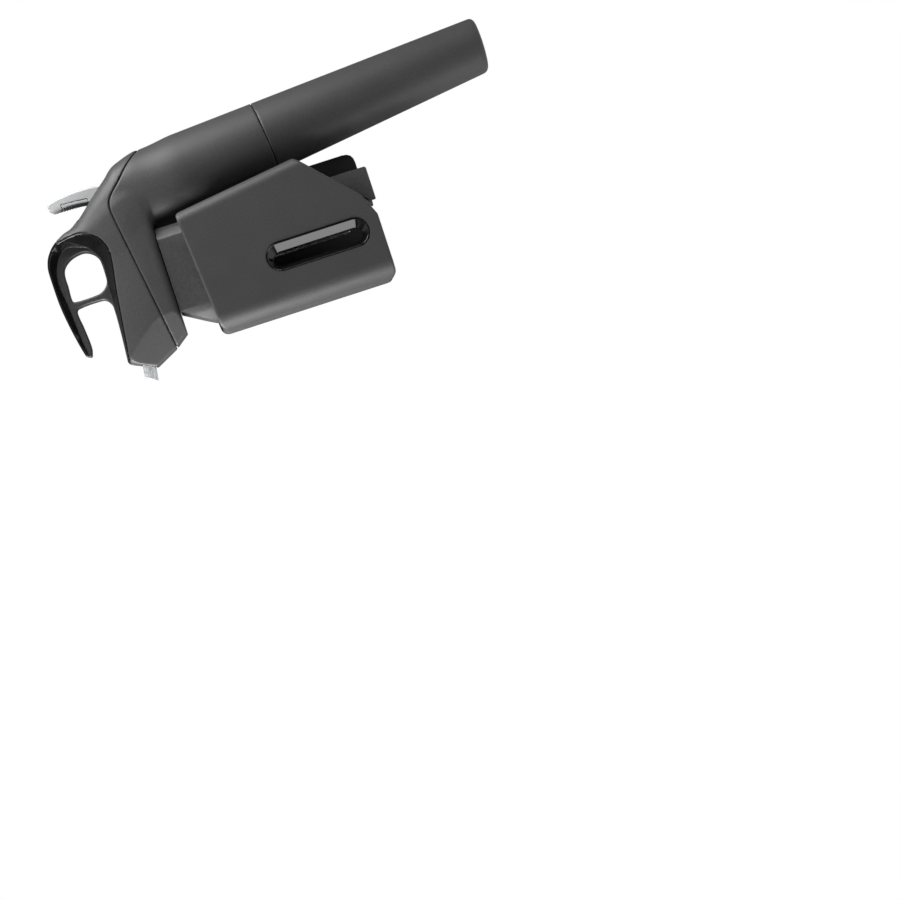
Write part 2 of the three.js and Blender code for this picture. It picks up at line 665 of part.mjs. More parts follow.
// Trigger
const leverShares = [
  [0.833, 0.33], [0.842, 0.402], [0.845, 0.469], [0.844, 0.586], [0.835, 0.709], [0.817, 0.814],
  [0.798, 0.831], [0.777, 0.822], [0.758, 0.793], [0.758, 0.722], [0.756, 0.605], [0.745, 0.49],
  [0.727, 0.4], [0.685, 0.362], [0.63, 0.347], [0.618, 0.307], [0.63, 0.266], [0.689, 0.264],
  [0.732, 0.238], [0.765, 0.226], [0.8, 0.243], [0.823, 0.282],
];
const leverPocketShares = [[0.7, 0.53], [0.7, 0.76], [0.8, 0.76], [0.808, 0.62], [0.8, 0.53]];
const pinHole = acrossAt(rod(pivotPinRadius + gap, -headDepth, headDepth, 16), pivotX, pivotZ);
const triggerLever = () => {
  const lever = sidePlate(headPoints(leverShares), -leverHalfWidth, leverHalfWidth, leverEdge, 1);
  const pocketHalf = leverHalfWidth - leverFlange;
  const pocket = sidePlate(headPoints(leverPocketShares), -pocketHalf, pocketHalf);
  return cut(lever, pocket, pinHole);
};
const triggerPin = () => acrossAt(rod(pivotPinRadius, -pinHalfLength, pinHalfLength, 16), pivotX, pivotZ);

// Gas regulator and valve, in the handle's frame
const flangeRadius = seamRadius - shellWall - gap;
const threadRidge = () => {
  const turns = (threadLength - threadLead) / threadLead;
  return wire(helix(threadRadius - gap / 2, -threadLength + threadLead / 2, -threadLead / 2, turns, 16),
    threadDepth, 4);
};
const sealHeight = 2.4;
const mouthZ = -capsuleTopDrop;
const regulatorBody = () => {
  const flangeBase = seamGap;
  const outer = turned([[0, -threadLength], [threadRadius, -threadLength], [threadRadius, flangeBase],
    [flangeRadius, flangeBase], [flangeRadius, flangeBase + flangeHeight],
    [regulatorRadius, flangeBase + flangeHeight], [regulatorRadius, regulatorTop], [0, regulatorTop]], 32);
  const neckBore = rod(capsuleNeckRadius + runningGap, -threadLength - overrun,
    mouthZ + sealHeight + gap, 20);
  const pinBore = rod(pinRadius + gap, mouthZ, regulatorFloor + overrun, 10);
  const chamber = rod(regulatorBore, regulatorFloor, regulatorTop + overrun, 24);
  return cut(join(outer, threadRidge()), neckBore, pinBore, chamber);
};
const piercingPin = () => turned([[0, mouthZ - 3 * pinRadius], [pinRadius, mouthZ - pinRadius],
  [pinRadius, regulatorFloor - gap], [0, regulatorFloor - gap]], 10);
const capsuleSeal = () => tube(capsuleNeckRadius, pinRadius + gap, mouthZ + gap, mouthZ + sealHeight, 20);
const pistonBase = regulatorFloor + 2 * pistonHeight / 3;
const regulatorPiston = () => rod(regulatorBore - gap, pistonBase, pistonBase + pistonHeight, 24);
const regulatorWire = 2 * springWire;
const springFrom = pistonBase + pistonHeight + gap + regulatorWire;
const springTo = regulatorTop - capHeight - gap - regulatorWire;
const regulatorSpring = () => wire(helix(regulatorBore - 2 * regulatorWire - gap, springFrom, springTo, 5),
  regulatorWire);
const regulatorCap = () => turned([[0, regulatorTop - capHeight], [regulatorBore - gap,
  regulatorTop - capHeight], [regulatorBore - gap, regulatorTop + gap], [regulatorRadius,
  regulatorTop + gap], [regulatorRadius, regulatorTop + capHeight], [0, regulatorTop + capHeight]], 24);
const valveBase = regulatorTop + capHeight + gap;
const valveTop = valveBase + valveHeight;
const pocketFloor = valveBase + valveHeight / 2;
const valveHousing = () => cut(rod(valveRadius, valveBase, valveTop, 24),
  rod(stemRadius + gap, valveBase + 2 * valveTravel, valveTop + overrun, 12, -stemOffset),
  rod(collarRadius + gap, pocketFloor, valveTop + overrun, 16, -stemOffset));
const collarBase = valveTop + valveTravel + gap;
const stemBase = valveBase + 4 * valveTravel;
const stemHeadZ = headPoint(leverShares[16])[1] - gap;
const stemTop = (stemHeadZ - seamZ + stemOffset * Math.sin(lean)) / Math.cos(lean);
const valveStem = () => turned([[0, stemBase], [stemRadius, stemBase],
  [stemRadius, collarBase], [collarRadius, collarBase], [collarRadius, collarBase + collarHeight],
  [stemRadius, collarBase + collarHeight], [stemRadius, stemTop], [0, stemTop]], 12, -stemOffset);
const valveSpring = () => {
  const points = helix(stemRadius + gap + 2 * springWire, pocketFloor + gap + springWire,
    collarBase - gap - springWire, 5);
  points.forEach((point) => { point.x -= stemOffset; });
  return wire(points, springWire);
};
const gasTubeRadius = 1.5;
const gasTube = () => {
  const start = new THREE.Vector3(0, 0.5 * valveRadius, valveTop + gap);
  start.applyAxisAngle(new THREE.Vector3(0, 1, 0), -lean).add(new THREE.Vector3(seamX, 0, seamZ));
  const side = start.y;
  const level = headFloor + 0.19 * headRise;
  const bend = 0.14 * headRear;
  const route = new THREE.CatmullRomCurve3([start, new THREE.Vector3(start.x, side, start.z + 0.3 * bend),
    new THREE.Vector3(start.x - 0.4 * bend, side, level - 0.2 * bend),
    new THREE.Vector3(start.x - bend, side, level), new THREE.Vector3(0.4 * headRear, side, level),
    new THREE.Vector3(manifoldRear + gap, side, level)]);
  const circle = [];
  for (let k = 0; k < 8; k += 1) {
    circle.push([gasTubeRadius * Math.cos(Math.PI * k / 4), gasTubeRadius * Math.sin(Math.PI * k / 4)]);
  }
  return solidOf(new THREE.ExtrudeGeometry(shapeOf(circle), { steps: 16, extrudePath: route,
    bevelEnabled: false }));
};

// Capsule and cup
const capsuleBase = mouthZ - capsuleLength;
const gasCapsule = () => {
  const inner = capsuleRadius - capsuleWall;
  const base = capsuleBase + capsuleWall;
  const shoulder = mouthZ - capsuleNeckLength;
  return turned([[0, capsuleBase], [0.55 * capsuleRadius, capsuleBase + 0.04 * capsuleRadius],
    [0.88 * capsuleRadius, capsuleBase + 0.25 * capsuleRadius],
    [capsuleRadius, capsuleBase + 0.6 * capsuleRadius], [capsuleRadius, shoulder - 0.6 * capsuleRadius],
    [0.85 * capsuleRadius, shoulder - 0.2 * capsuleRadius], [capsuleNeckRadius, shoulder],
    [capsuleNeckRadius, mouthZ], [pinRadius + gap, mouthZ],
    [pinRadius + gap, shoulder - capsuleWall], [0.8 * inner, shoulder - 0.35 * capsuleRadius],
    [inner, shoulder - 0.75 * capsuleRadius], [inner, base + 0.6 * inner],
    [0.8 * inner, base + 0.1 * inner], [0, base]], 24);
};
const cushionThickness = 6;
const cushionTop = capsuleBase - gap;
const cupCushion = () => rod(capsuleRadius - gap, cushionTop - cushionThickness, cushionTop, 24);
const capsuleCup = () => {
  const floor = cushionTop - cushionThickness - gap;
  const end = seamZ + (floor - cupFloor) * Math.cos(lean);
  const low = floor - cupFloor - overrun;
  const threadBore = threadRadius + threadDepth + gap;
  const bore = capsuleRadius + runningGap;
  const shoulder = -threadLength - threadLead;
  const cup = turned([[0, low], [seamRadius + handleTaperShare * low, low],
    [seamRadius - handleTaperShare * seamGap / 2, -seamGap / 2], [threadBore, -seamGap / 2],
    [threadBore, shoulder], [bore, shoulder - threadLead], [bore, floor], [0, floor]], 40);
  const below = box(-headRear, 3 * headRear, -headDepth, headDepth, 2 * end, end);
  return cut(cup, toHandle(below));
};

// Clamp frame: sleeve above the lip, backbone behind the neck, channel for the rail, jaw lugs
const sleeveTop = headFloor - gap;
const alongAt = (solid, y, z) => placed(solid, alongX, [0, y, z]);
const lugInner = carrierHalfLength - jawLugLength + runningGap + gap;
const lugOuter = lugInner + jawLugLength;
const lugReach = jawPinOffset + 0.9 * knuckleRadius;
const clampFrame = () => {
  const h = sleeveHalfWidth;
  const plan = [[-sleeveFront, -0.55 * h], [-0.7 * sleeveFront, -h], [0.88 * backboneRear, -h],
    [1.1 * backboneRear, -0.72 * h], [1.1 * backboneRear, 0.72 * h], [0.88 * backboneRear, h],
    [-0.7 * sleeveFront, h], [-sleeveFront, 0.55 * h]];
  const side = [[-sleeveFront, sleeveFloor], [-sleeveFront, sleeveTop - 1.6 * sleeveChamfer],
    [-sleeveFront + sleeveChamfer, sleeveTop], [1.2 * backboneRear, sleeveTop],
    [1.2 * backboneRear, sleeveFloor]];
  const sleeve = column(plan, sleeveFloor, sleeveTop).intersect(sidePlate(side, -headDepth, headDepth));
  const backbone = box(carrierHalfLength + runningGap, backboneRear, -backboneHalfWidth,
    backboneHalfWidth, -clampDepth, sleeveFloor + overrun);
  const backboneFront = carrierHalfLength + runningGap;
  const lip = sidePlate([[frameLipFront, -clampDepth], [backboneRear, -clampDepth],
    [backboneRear, -clampDepth + frameLipRise], [backboneFront, -clampDepth + frameLipRise],
    [frameLipFront, -clampDepth + frameLipHeight]], -backboneHalfWidth, backboneHalfWidth);
  const neck = rod(lipRadius + neckClearance, -clampDepth - overrun, 0, 32);
  const lugs = [1, -1].flatMap((y) => [1, -1].map((x) => box(Math.min(x * lugInner, x * lugOuter),
    Math.max(x * lugInner, x * lugOuter), Math.min(y * (h - overrun), y * lugReach),
    Math.max(y * (h - overrun), y * lugReach), sleeveFloor, jawPinZ + knuckleRadius)));
  const pins = [1, -1].map((y) => alongAt(rod(jawPinRadius + gap, -headRear, headRear, 14),
    y * jawPinOffset, jawPinZ));
  const knuckles = [1, -1].map((y) => alongAt(rod(knuckleRadius + runningGap, -lugInner, lugInner, 20),
    y * jawPinOffset, jawPinZ));
  const channel = column(railProfile(runningGap), -clampDepth - overrun, sleeveTop + overrun);
  const behind = box(backboneRear, headRear, -railBarHalfWidth - runningGap,
    railBarHalfWidth + runningGap, -clampDepth - overrun, sleeveTop + overrun);
  const guide = rod(guideBore, sleeveFloor + overrun, sleeveTop + overrun, 28);
  const through = rod(0.4 * guideBore, -overrun, sleeveTop, 16);
  const body = cut(join(sleeve, backbone, lip, ...lugs), ...knuckles);
  return cut(body, ...pins, neck, channel, behind, guide, through);
};
const lipPad = () => tube(neckRadius, lipPadBore, 0, lipPadThickness, 32);
const guideBase = sleeveFloor + overrun + gap;
const needleGuide = () => tube(guideBore - gap, needleRadius + gap, guideBase, guideBase + guideHeight, 24);
const needleWiper = () => tube(guideBore - gap, needleRadius + gap, guideBase + guideHeight + gap,
  guideBase + guideHeight + 5 * gap, 24);

// Jaws: places are shares of the clamp's reach to the front or rear, and above or below the lip seat
const clampPoint = ([alongShare, upShare]) => [
  alongShare > 0 ? alongShare * clampRear : alongShare * clampFront,
  upShare > 0 ? upShare * collarRise : upShare * coverDepth,
];
const coverShares = [[0.8, 1], [1.005, -0.6], [0.324, -0.939], [0.05, -1], [-1, -1], [-1, 0.7]];
const coverRadiusShares = [0.17, 0.28, 1, 0.33, 0.67, 0.33];
const stadium = (width, top, bottom, x, steps = 8) => {
  const radius = width / 2;
  const points = [];
  for (let i = 0; i <= steps; i += 1) {
    const angle = Math.PI * i / steps;
    points.push([x + radius * Math.cos(angle), top - radius + radius * Math.sin(angle)]);
  }
  for (let i = 0; i <= steps; i += 1) {
    const angle = Math.PI * (1 + i / steps);
    points.push([x + radius * Math.cos(angle), bottom + radius + radius * Math.sin(angle)]);
  }
  return points;
};
const slotAt = (shrink) => stadium(slotWidth - 2 * shrink, -slotTop - shrink, -slotBottom + shrink,
  slotCentreX);
const slotCut = (shrink) => sidePlate(slotAt(shrink), -2 * clampHalfWidth, 2 * clampHalfWidth);
const jawCover = (side) => {
  const bend = (radius, inset) => {
    const points = [];
    for (let i = 0; i <= 6; i += 1) {
      const angle = Math.PI * i / 12;
      points.push([-clampFront + coverCornerRadius - radius * Math.sin(angle),
        side * (clampHalfWidth - coverCornerRadius + radius * Math.cos(angle))]);
    }
    return [[clampRear + overrun, side * (clampHalfWidth - inset)], ...points,
      [-clampFront + inset, side * coverSplit / 2]];
  };
  const inner = bend(coverCornerRadius - coverWall, coverWall).reverse();
  const wrap = column([...bend(coverCornerRadius, 0), ...inner], -clampDepth - overrun,
    collarRise + overrun);
  const outline = rounded(coverShares.map(clampPoint),
    coverRadiusShares.map((share) => share * coverCornerRadius));
  return cut(wrap.intersect(sidePlate(outline, -2 * clampHalfWidth, 2 * clampHalfWidth)), slotCut(0));
};
const coilHalfLength = 3.6;
const jawCarrier = (side) => {
  const inner = side * carrierInner;
  const outer = side * carrierOuter;
  const top = jawPinZ - knuckleRadius - 3 * runningGap;
  const cornerX = carrierHalfLength - carrierCorner;
  const cornerZ = -carrierBottom + carrierCorner;
  const plate = sidePlate([[-carrierHalfLength, top], [-carrierHalfLength, cornerZ],
    [-cornerX, -carrierBottom], [cornerX, -carrierBottom], [carrierHalfLength, cornerZ],
    [carrierHalfLength, top]], Math.min(inner, outer), Math.max(inner, outer));
  const neckX = lugInner - runningGap;
  const tongue = box(-neckX, neckX, Math.min(inner, outer), Math.max(inner, outer),
    -padTop, jawPinZ);
  const knuckle = alongAt(rod(knuckleRadius, -neckX, neckX, 20), side * jawPinOffset, jawPinZ);
  const bore = alongAt(rod(jawPinRadius + gap, -headRear, headRear, 14), side * jawPinOffset, jawPinZ);
  const coilRoom = alongAt(rod(knuckleRadius + gap, -coilHalfLength - runningGap,
    coilHalfLength + runningGap, 16), side * jawPinOffset, jawPinZ);
  return cut(join(plate, tongue, knuckle), bore, coilRoom, slotCut(0));
};
const windowSide = -1; // the pad of this side is open behind the slot, the other is whole
const gripPad = (side) => {
  const y = [side * 0.4 * neckRadius, side * (carrierInner - gap)];
  const block = box(-padHalfLength, padHalfLength, Math.min(...y), Math.max(...y), -padBottom, -padTop);
  const neck = rod(neckRadius + gap, -clampDepth, 0, 32);
  const closed = cut(block, neck);
  return side === windowSide ? cut(closed, slotCut(slotRim)) : closed;
};
const windowBezel = (side) => {
  const outside = side * (clampHalfWidth + bezelProud);
  const inside = side * carrierInner;
  const ring = sidePlate(slotAt(gap), Math.min(outside, inside), Math.max(outside, inside));
  const opening = wedge(slotAt(slotRim), slotAt(gap), inside - side * overrun, outside + side * overrun);
  return cut(ring, opening);
};
const jawPin = (side) => alongAt(rod(jawPinRadius, -lugOuter, lugOuter, 16), side * jawPinOffset, jawPinZ);
const jawSpring = (side) => {
  const radius = jawPinRadius + 2 * gap + springWire;
  const coil = wire(helix(radius, -coilHalfLength, coilHalfLength, 6), springWire);
  return alongAt(coil, side * jawPinOffset, jawPinZ);
};

add('clamp_frame', clampFrame(), frameGrey);
add('lip_pad', lipPad(), rubber);
add('needle_guide', needleGuide(), railPlastic);
add('needle_wiper', needleWiper(), rubber);
[['left', 1], ['right', -1]].forEach(([name, side]) => {
  add(`jaw_cover_${name}`, jawCover(side), shellPlastic);
  add(`jaw_carrier_${name}`, jawCarrier(side), railPlastic);
  add(`grip_pad_${name}`, gripPad(side), rubber);
  add(`window_bezel_${name}`, windowBezel(side), glossBlack);
  add(`jaw_pin_${name}`, jawPin(side), steel);
  add(`jaw_spring_${name}`, jawSpring(side), steel);
  add(`rail_screw_${name}`, railScrew(side), steel);
});
add('main_shell', mainShell(), shellPlastic);
add('nose_shell', noseShell(), shellPlastic);
add('grip_insert', gripInsert(), glossBlack);
add('guide_rail', guideRail(), railPlastic);
add('manifold_block', manifoldBlock(), railPlastic);
add('needle_hub', needleHub(), steel);
add('needle_nut', needleNut(), railPlastic);
add('hub_seal', hubSeal(), rubber);
add('needle', needle(), steel);
add('spout_adapter', spoutAdapter(), railPlastic);
add('spout_seal', spoutSeal(), rubber);
add('spout_tip', spoutTip(), clear);
add('gas_tube', gasTube(), steel);
add('trigger_lever', triggerLever(), silver);
add('trigger_pin', triggerPin(), steel);
add('regulator_body', regulatorBody(), brass, handleGroup);
add('regulator_piston', regulatorPiston(), brass, handleGroup);
add('regulator_spring', regulatorSpring(), steel, handleGroup);
add('regulator_cap', regulatorCap(), brass, handleGroup);
add('piercing_pin', piercingPin(), steel, handleGroup);
add('capsule_seal', capsuleSeal(), rubber, handleGroup);
add('valve_housing', valveHousing(), brass, handleGroup);
add('valve_stem', valveStem(), steel, handleGroup);
add('valve_spring', valveSpring(), steel, handleGroup);
add('gas_capsule', gasCapsule(), steel, handleGroup);
add('capsule_cup', capsuleCup(), shellPlastic, handleGroup);
add('cup_cushion', cupCushion(), rubber, handleGroup);

export default parts;
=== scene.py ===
import json
import math

import bmesh
import bpy
import numpy as np
from mathutils import Matrix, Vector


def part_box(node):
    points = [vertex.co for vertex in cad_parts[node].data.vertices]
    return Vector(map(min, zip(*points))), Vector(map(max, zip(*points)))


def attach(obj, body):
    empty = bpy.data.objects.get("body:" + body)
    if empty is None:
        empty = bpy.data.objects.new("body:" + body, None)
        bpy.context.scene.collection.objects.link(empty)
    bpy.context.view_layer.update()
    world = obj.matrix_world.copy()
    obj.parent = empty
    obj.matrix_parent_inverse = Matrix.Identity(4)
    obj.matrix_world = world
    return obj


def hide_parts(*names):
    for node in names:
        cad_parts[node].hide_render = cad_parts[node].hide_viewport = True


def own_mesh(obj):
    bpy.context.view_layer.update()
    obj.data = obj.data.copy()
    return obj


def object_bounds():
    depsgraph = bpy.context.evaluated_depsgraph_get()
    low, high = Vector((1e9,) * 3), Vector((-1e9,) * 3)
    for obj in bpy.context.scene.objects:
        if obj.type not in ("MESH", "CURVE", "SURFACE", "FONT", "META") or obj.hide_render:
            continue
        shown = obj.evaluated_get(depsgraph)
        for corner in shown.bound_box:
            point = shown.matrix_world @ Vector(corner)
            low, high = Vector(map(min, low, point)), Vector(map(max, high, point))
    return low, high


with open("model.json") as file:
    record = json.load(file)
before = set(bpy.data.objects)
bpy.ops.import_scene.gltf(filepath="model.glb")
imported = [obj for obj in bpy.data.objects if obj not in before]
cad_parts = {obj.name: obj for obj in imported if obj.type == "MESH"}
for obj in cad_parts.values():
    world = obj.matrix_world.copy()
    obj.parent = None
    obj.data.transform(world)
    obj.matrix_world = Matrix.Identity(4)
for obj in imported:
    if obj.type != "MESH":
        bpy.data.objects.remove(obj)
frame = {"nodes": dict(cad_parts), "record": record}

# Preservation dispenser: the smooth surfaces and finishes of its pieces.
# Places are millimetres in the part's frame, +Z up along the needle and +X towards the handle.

CAD_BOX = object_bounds()
MM = 0.001
# The least length that anything is divided by, and that tells two places apart
TINY = 0.001

# Head and handle
HEAD_REAR = 66
HEAD_NOSE = 32.6
HEAD_FLOOR = 26.5
HEAD_RISE = 52.2
HEAD_HALF_WIDTH = 17.5
HEAD_EDGE = 4
HEAD_FILLET = 3
SHELL_WALL = 2.6
LOOP_TOP_HALF_WIDTH = 10
WEB_HALF_THICKNESS = 4.5
HANDLE_LEAN = math.radians(5.58)
SEAM_X = 53.85
SEAM_Z = -36
SEAM_RADIUS = 16.85
HANDLE_TAPER = 0.0344
HANDLE_TOP = 41
BLOCK_INSET = 0.5
HUB_BORE = 5.3
SHELL_GAP = 0.4
SEAM_EDGE = 0.35
SEAM_LIP_DEPTH = 1.2
SEAM_LIP_HEIGHT = 1.5
LIP_CLEARANCE = 0.2
SEAT_CLEARANCE = 0.2
BORE_EDGE = 0.3
WINDOW_EDGE = 0.9
RIM_EDGE = 0.6
LEAST_DISH = 2.5
SATIN_SHEEN_MARGIN = 0.2
CUP_GAP = 0.1

# Cup
CUP_LENGTH = 110.2
CUP_FLOOR = 7.7
CUP_END_EDGE = 2.6
THREAD_BORE = 13.9
THREAD_ROOM = 16
CAPSULE_BORE = 9.8

# Clamp
CLAMP_FRONT = 27.7
CLAMP_REAR = 38.6
COVER_DEPTH = 73.5
COLLAR_RISE = 15.3
CLAMP_HALF_WIDTH = 24
COVER_WALL = 2.6
COVER_FRONT_RADIUS = 9
COVER_REAR_RADIUS = 5.5
COVER_EDGE = 0.9
COVER_SPLIT = 3
COVER_CURL = 18.6
SLOT_X = -3.1
SLOT_TOP = 18.4
SLOT_BOTTOM = 67.6
SLOT_WIDTH = 13.4
BEZEL_PROUD = 0.3
BEZEL_INNER = 16.8
BEZEL_LIP = 0.4
THROAT_RADIUS = 3.4
THROAT_SHIFT = -1.2
BEZEL_SLOPE_DEPTH = 2.8
THROAT_FLARE = 1.2
BEZEL_GAP = 0.25

# Spout and trigger
SPOUT_RADIUS = 3
SPOUT_BORE = 2.2
SPOUT_RISE = math.radians(7.7)
SPOUT_PROUD = 5.9
SPOUT_INSERT = 6
SPOUT_SLANT = 1.2
SPOUT_CLEARANCE = 0.3
SPOUT_EDGE = 0.25
SPOUT_BORE_EDGE = 0.2
LEVER_HALF_WIDTH = 7.5
LEVER_CLEARANCE = 0.6
LEVER_EDGE = 0.9
LEVER_FLANGE = 1.7
PIVOT_HOLE = 1.8

# Surfaces: the sizes of their cells, and how they are drawn and shaded
FINEST = 0.27
FINE = 0.35
COARSE = 0.6
LEAST_STEEPNESS = 0.2
POLISH_LIMIT = math.radians(25)
SHARP_ANGLE = math.radians(35)


# Small helpers for signed distances: negative inside a form
def rounded_meet(a, b, radius):
    """Where both forms are, with its edge rounded."""
    outer = np.hypot(np.maximum(a + radius, 0), np.maximum(b + radius, 0))
    return np.minimum(np.maximum(a, b) + radius, 0) + outer - radius


def filleted_join(a, b, reach):
    """Both forms as one, with a fillet between them."""
    return np.minimum(a, b) - np.maximum(reach - np.abs(a - b), 0) ** 2 / (4 * reach)


def box_distance(value, low, high):
    return np.maximum(low - value, value - high)


def eased(value, places, heights):
    """Smooth curve through a few heights, level beyond its ends."""
    places = np.asarray(places, float)
    heights = np.asarray(heights, float)
    slopes = np.gradient(heights, places)
    value = np.clip(value, places[0], places[-1])
    i = np.clip(np.searchsorted(places, value) - 1, 0, len(places) - 2)
    span = places[i + 1] - places[i]
    t = (value - places[i]) / span
    first = (1 + 2 * t) * (1 - t) ** 2 * heights[i] + t ** 2 * (3 - 2 * t) * heights[i + 1]
    return first + span * (t * (1 - t) ** 2 * slopes[i] - t ** 2 * (1 - t) * slopes[i + 1])


def softened(points, corners=(), steps=4):
    """Closed outline as a smooth curve through its points, kept sharp at the listed corners."""
    count = len(points)
    points = [np.array(point, float) for point in points]
    result = []
    for i in range(count):
        start, end = points[i], points[(i + 1) % count]
        before = start if i in corners else points[i - 1]
        after = end if (i + 1) % count in corners else points[(i + 2) % count]
        leave = (end - before) / 2 if i not in corners else end - start
        reach = (after - start) / 2 if (i + 1) % count not in corners else end - start
        size = np.linalg.norm(end - start)
        leave *= size / max(np.linalg.norm(leave), TINY)
        reach *= size / max(np.linalg.norm(reach), TINY)
        for k in range(steps):
            t = k / steps
            result.append((2 * t ** 3 - 3 * t ** 2 + 1) * start + (t ** 3 - 2 * t ** 2 + t) * leave
                          + (3 * t ** 2 - 2 * t ** 3) * end + (t ** 3 - t ** 2) * reach)
    return result


def outline(points):
    """Distance to a closed outline in two of the axes."""
    points = np.array(points, float)
    ends = np.roll(points, -1, axis=0)

    def distance(u, v):
        u, v = np.broadcast_arrays(u, v)
        nearest = np.full(u.shape, np.inf)
        inside = np.zeros(u.shape, bool)
        for (u0, v0), (u1, v1) in zip(points, ends):
            du, dv = u1 - u0, v1 - v0
            wu, wv = u - u0, v - v0
            t = np.clip((wu * du + wv * dv) / max(du * du + dv * dv, TINY * TINY), 0, 1)
            nearest = np.minimum(nearest, (wu - t * du) ** 2 + (wv - t * dv) ** 2)
            crosses = (v >= v0) != (v >= v1)
            right = (wu * dv - wv * du) * (1 if dv > 0 else -1) < 0
            inside ^= crosses & right
        return np.where(inside, -1, 1) * np.sqrt(nearest)

    return distance


def with_arcs(points, radii, steps=8):
    """Outline whose corners are replaced by arcs."""
    result = []
    for i, radius in enumerate(radii):
        corner = np.array(points[i], float)
        sides = [np.array(points[j % len(points)], float) - corner for j in (i - 1, i + 1)]
        towards, away = (side / np.linalg.norm(side) for side in sides)
        half = math.acos(float(towards.dot(away))) / 2
        middle = corner + (towards + away) / np.linalg.norm(towards + away) * radius / math.sin(half)
        start, end = (corner + side * radius / math.tan(half) - middle for side in (towards, away))
        for k in range(steps + 1):
            spot = start * (steps - k) + end * k
            result.append(middle + spot / max(np.linalg.norm(spot), TINY) * radius)
    return result


def facet(points, inside):
    """Distance beyond the plane through three points."""
    a, b, c = (np.array(point, float) for point in points)
    normal = np.cross(b - a, c - a)
    normal /= np.linalg.norm(normal)
    if normal.dot(np.array(inside) - a) > 0:
        normal = -normal
    return lambda x, y, z: normal[0] * (x - a[0]) + normal[1] * (y - a[1]) + normal[2] * (z - a[2])


def in_handle(x, z):
    """Place across and along the leaning handle, from the middle of its joint with the cup."""
    dx, dz = x - SEAM_X, z - SEAM_Z
    return (dx * math.cos(HANDLE_LEAN) + dz * math.sin(HANDLE_LEAN),
            dz * math.cos(HANDLE_LEAN) - dx * math.sin(HANDLE_LEAN))


# Surfaces: a net over the cells that a form's skin passes through, drawn onto the skin
def net(field, low, high, cell):
    axes = [np.arange(low[k], high[k] + cell, cell) for k in range(3)]
    values = field(axes[0][:, None, None], axes[1][None, :, None], axes[2][None, None, :])
    values = np.broadcast_to(values, [len(axis) for axis in axes])
    inside = values < 0
    part = (slice(None, -1), slice(1, None))
    count = sum(inside[part[i], part[j], part[k]].astype(np.int8)
                for i in (0, 1) for j in (0, 1) for k in (0, 1))
    active = (count > 0) & (count < 8)
    number = np.full(active.shape, -1)
    number[active] = np.arange(active.sum())
    total = np.zeros(active.shape + (3,))
    hits = np.zeros(active.shape)
    for axis in range(3):
        others = [k for k in range(3) if k != axis]
        for i in (0, 1):
            for j in (0, 1):
                near, far = [None] * 3, [None] * 3
                near[axis], far[axis] = part
                near[others[0]] = far[others[0]] = part[i]
                near[others[1]] = far[others[1]] = part[j]
                a, b = values[tuple(near)], values[tuple(far)]
                crossed = (a < 0) != (b < 0)
                share = np.where(crossed, a / np.where(crossed, a - b, 1), 0)
                total[..., axis] += share
                total[..., others[0]] += crossed * i
                total[..., others[1]] += crossed * j
                hits += crossed
    cells = np.argwhere(active)
    points = np.array(low) + cell * (cells + total[active] / hits[active][:, None])
    quads = []
    for axis in range(3):
        others = [(axis + 1) % 3, (axis + 2) % 3]
        near, far = [slice(1, -1)] * 3, [slice(1, -1)] * 3
        near[axis], far[axis] = part
        a, b = inside[tuple(near)], inside[tuple(far)]
        for flip in (False, True):
            spots = np.argwhere((a & ~b) if not flip else (~a & b))
            corners = []
            for i, j in ((0, 0), (1, 0), (1, 1), (0, 1)):
                spot = spots.copy()
                spot[:, others[0]] += i
                spot[:, others[1]] += j
                corners.append(number[spot[:, 0], spot[:, 1], spot[:, 2]])
            quad = np.stack(corners, 1)
            quads.append(quad[:, ::-1] if flip else quad)
    return drawn_on(field, points, cell), np.concatenate(quads)


def slope_at(field, points, here, probe=0.02):
    x, y, z = points.T
    return np.stack([field(x + probe, y, z) - here, field(x, y + probe, z) - here,
                     field(x, y, z + probe) - here], 1) / probe


def drawn_on(field, points, cell, passes=2):
    for _ in range(passes):
        here = field(*points.T)
        slope = slope_at(field, points, here)
        steep = np.maximum((slope ** 2).sum(1), LEAST_STEEPNESS)
        step = np.clip(here / steep, -cell / 2, cell / 2)
        points = points - step[:, None] * slope
    return points


def polish(piece, field):
    """Gives a shiny piece the form's own normals, apart from its sharpest edges."""
    mesh = piece.data
    flat = np.zeros(len(mesh.vertices) * 3)
    mesh.vertices.foreach_get("co", flat)
    points = flat.reshape(-1, 3) / MM
    mesh.vertex_normals.foreach_get("vector", flat)
    drawn = flat.reshape(-1, 3)
    slope = slope_at(field, points, field(*points.T))
    slope /= np.maximum(np.linalg.norm(slope, axis=1), TINY)[:, None]
    alike = (slope * drawn).sum(1) > math.cos(POLISH_LIMIT)
    mesh.normals_split_custom_set_from_vertices(np.where(alike[:, None], slope, drawn).tolist())


def new_object(name, points, faces, materials):
    mesh = bpy.data.meshes.new(name)
    mesh.from_pydata((np.asarray(points) * MM).tolist(), [], np.asarray(faces).tolist())
    mesh.validate()
    for material in materials:
        mesh.materials.append(material)
    mesh.shade_smooth()
    piece = bpy.data.objects.new(name, mesh)
    bpy.context.collection.objects.link(piece)
    return piece


def dress(piece, body, slot, *nodes):
    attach(piece, body)
    if nodes:
        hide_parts(*nodes)
    return piece


# Head: places are shares of its reach to the rear or the nose, and of its rise above the underside
def head_point(share):
    along, up = share
    return (along * (HEAD_REAR if along > 0 else HEAD_NOSE), HEAD_FLOOR + up * HEAD_RISE)


def head_outline(shares, corners=None, steps=4):
    points = [head_point(share) for share in shares]
    return outline(points if corners is None else softened(points, corners, steps))


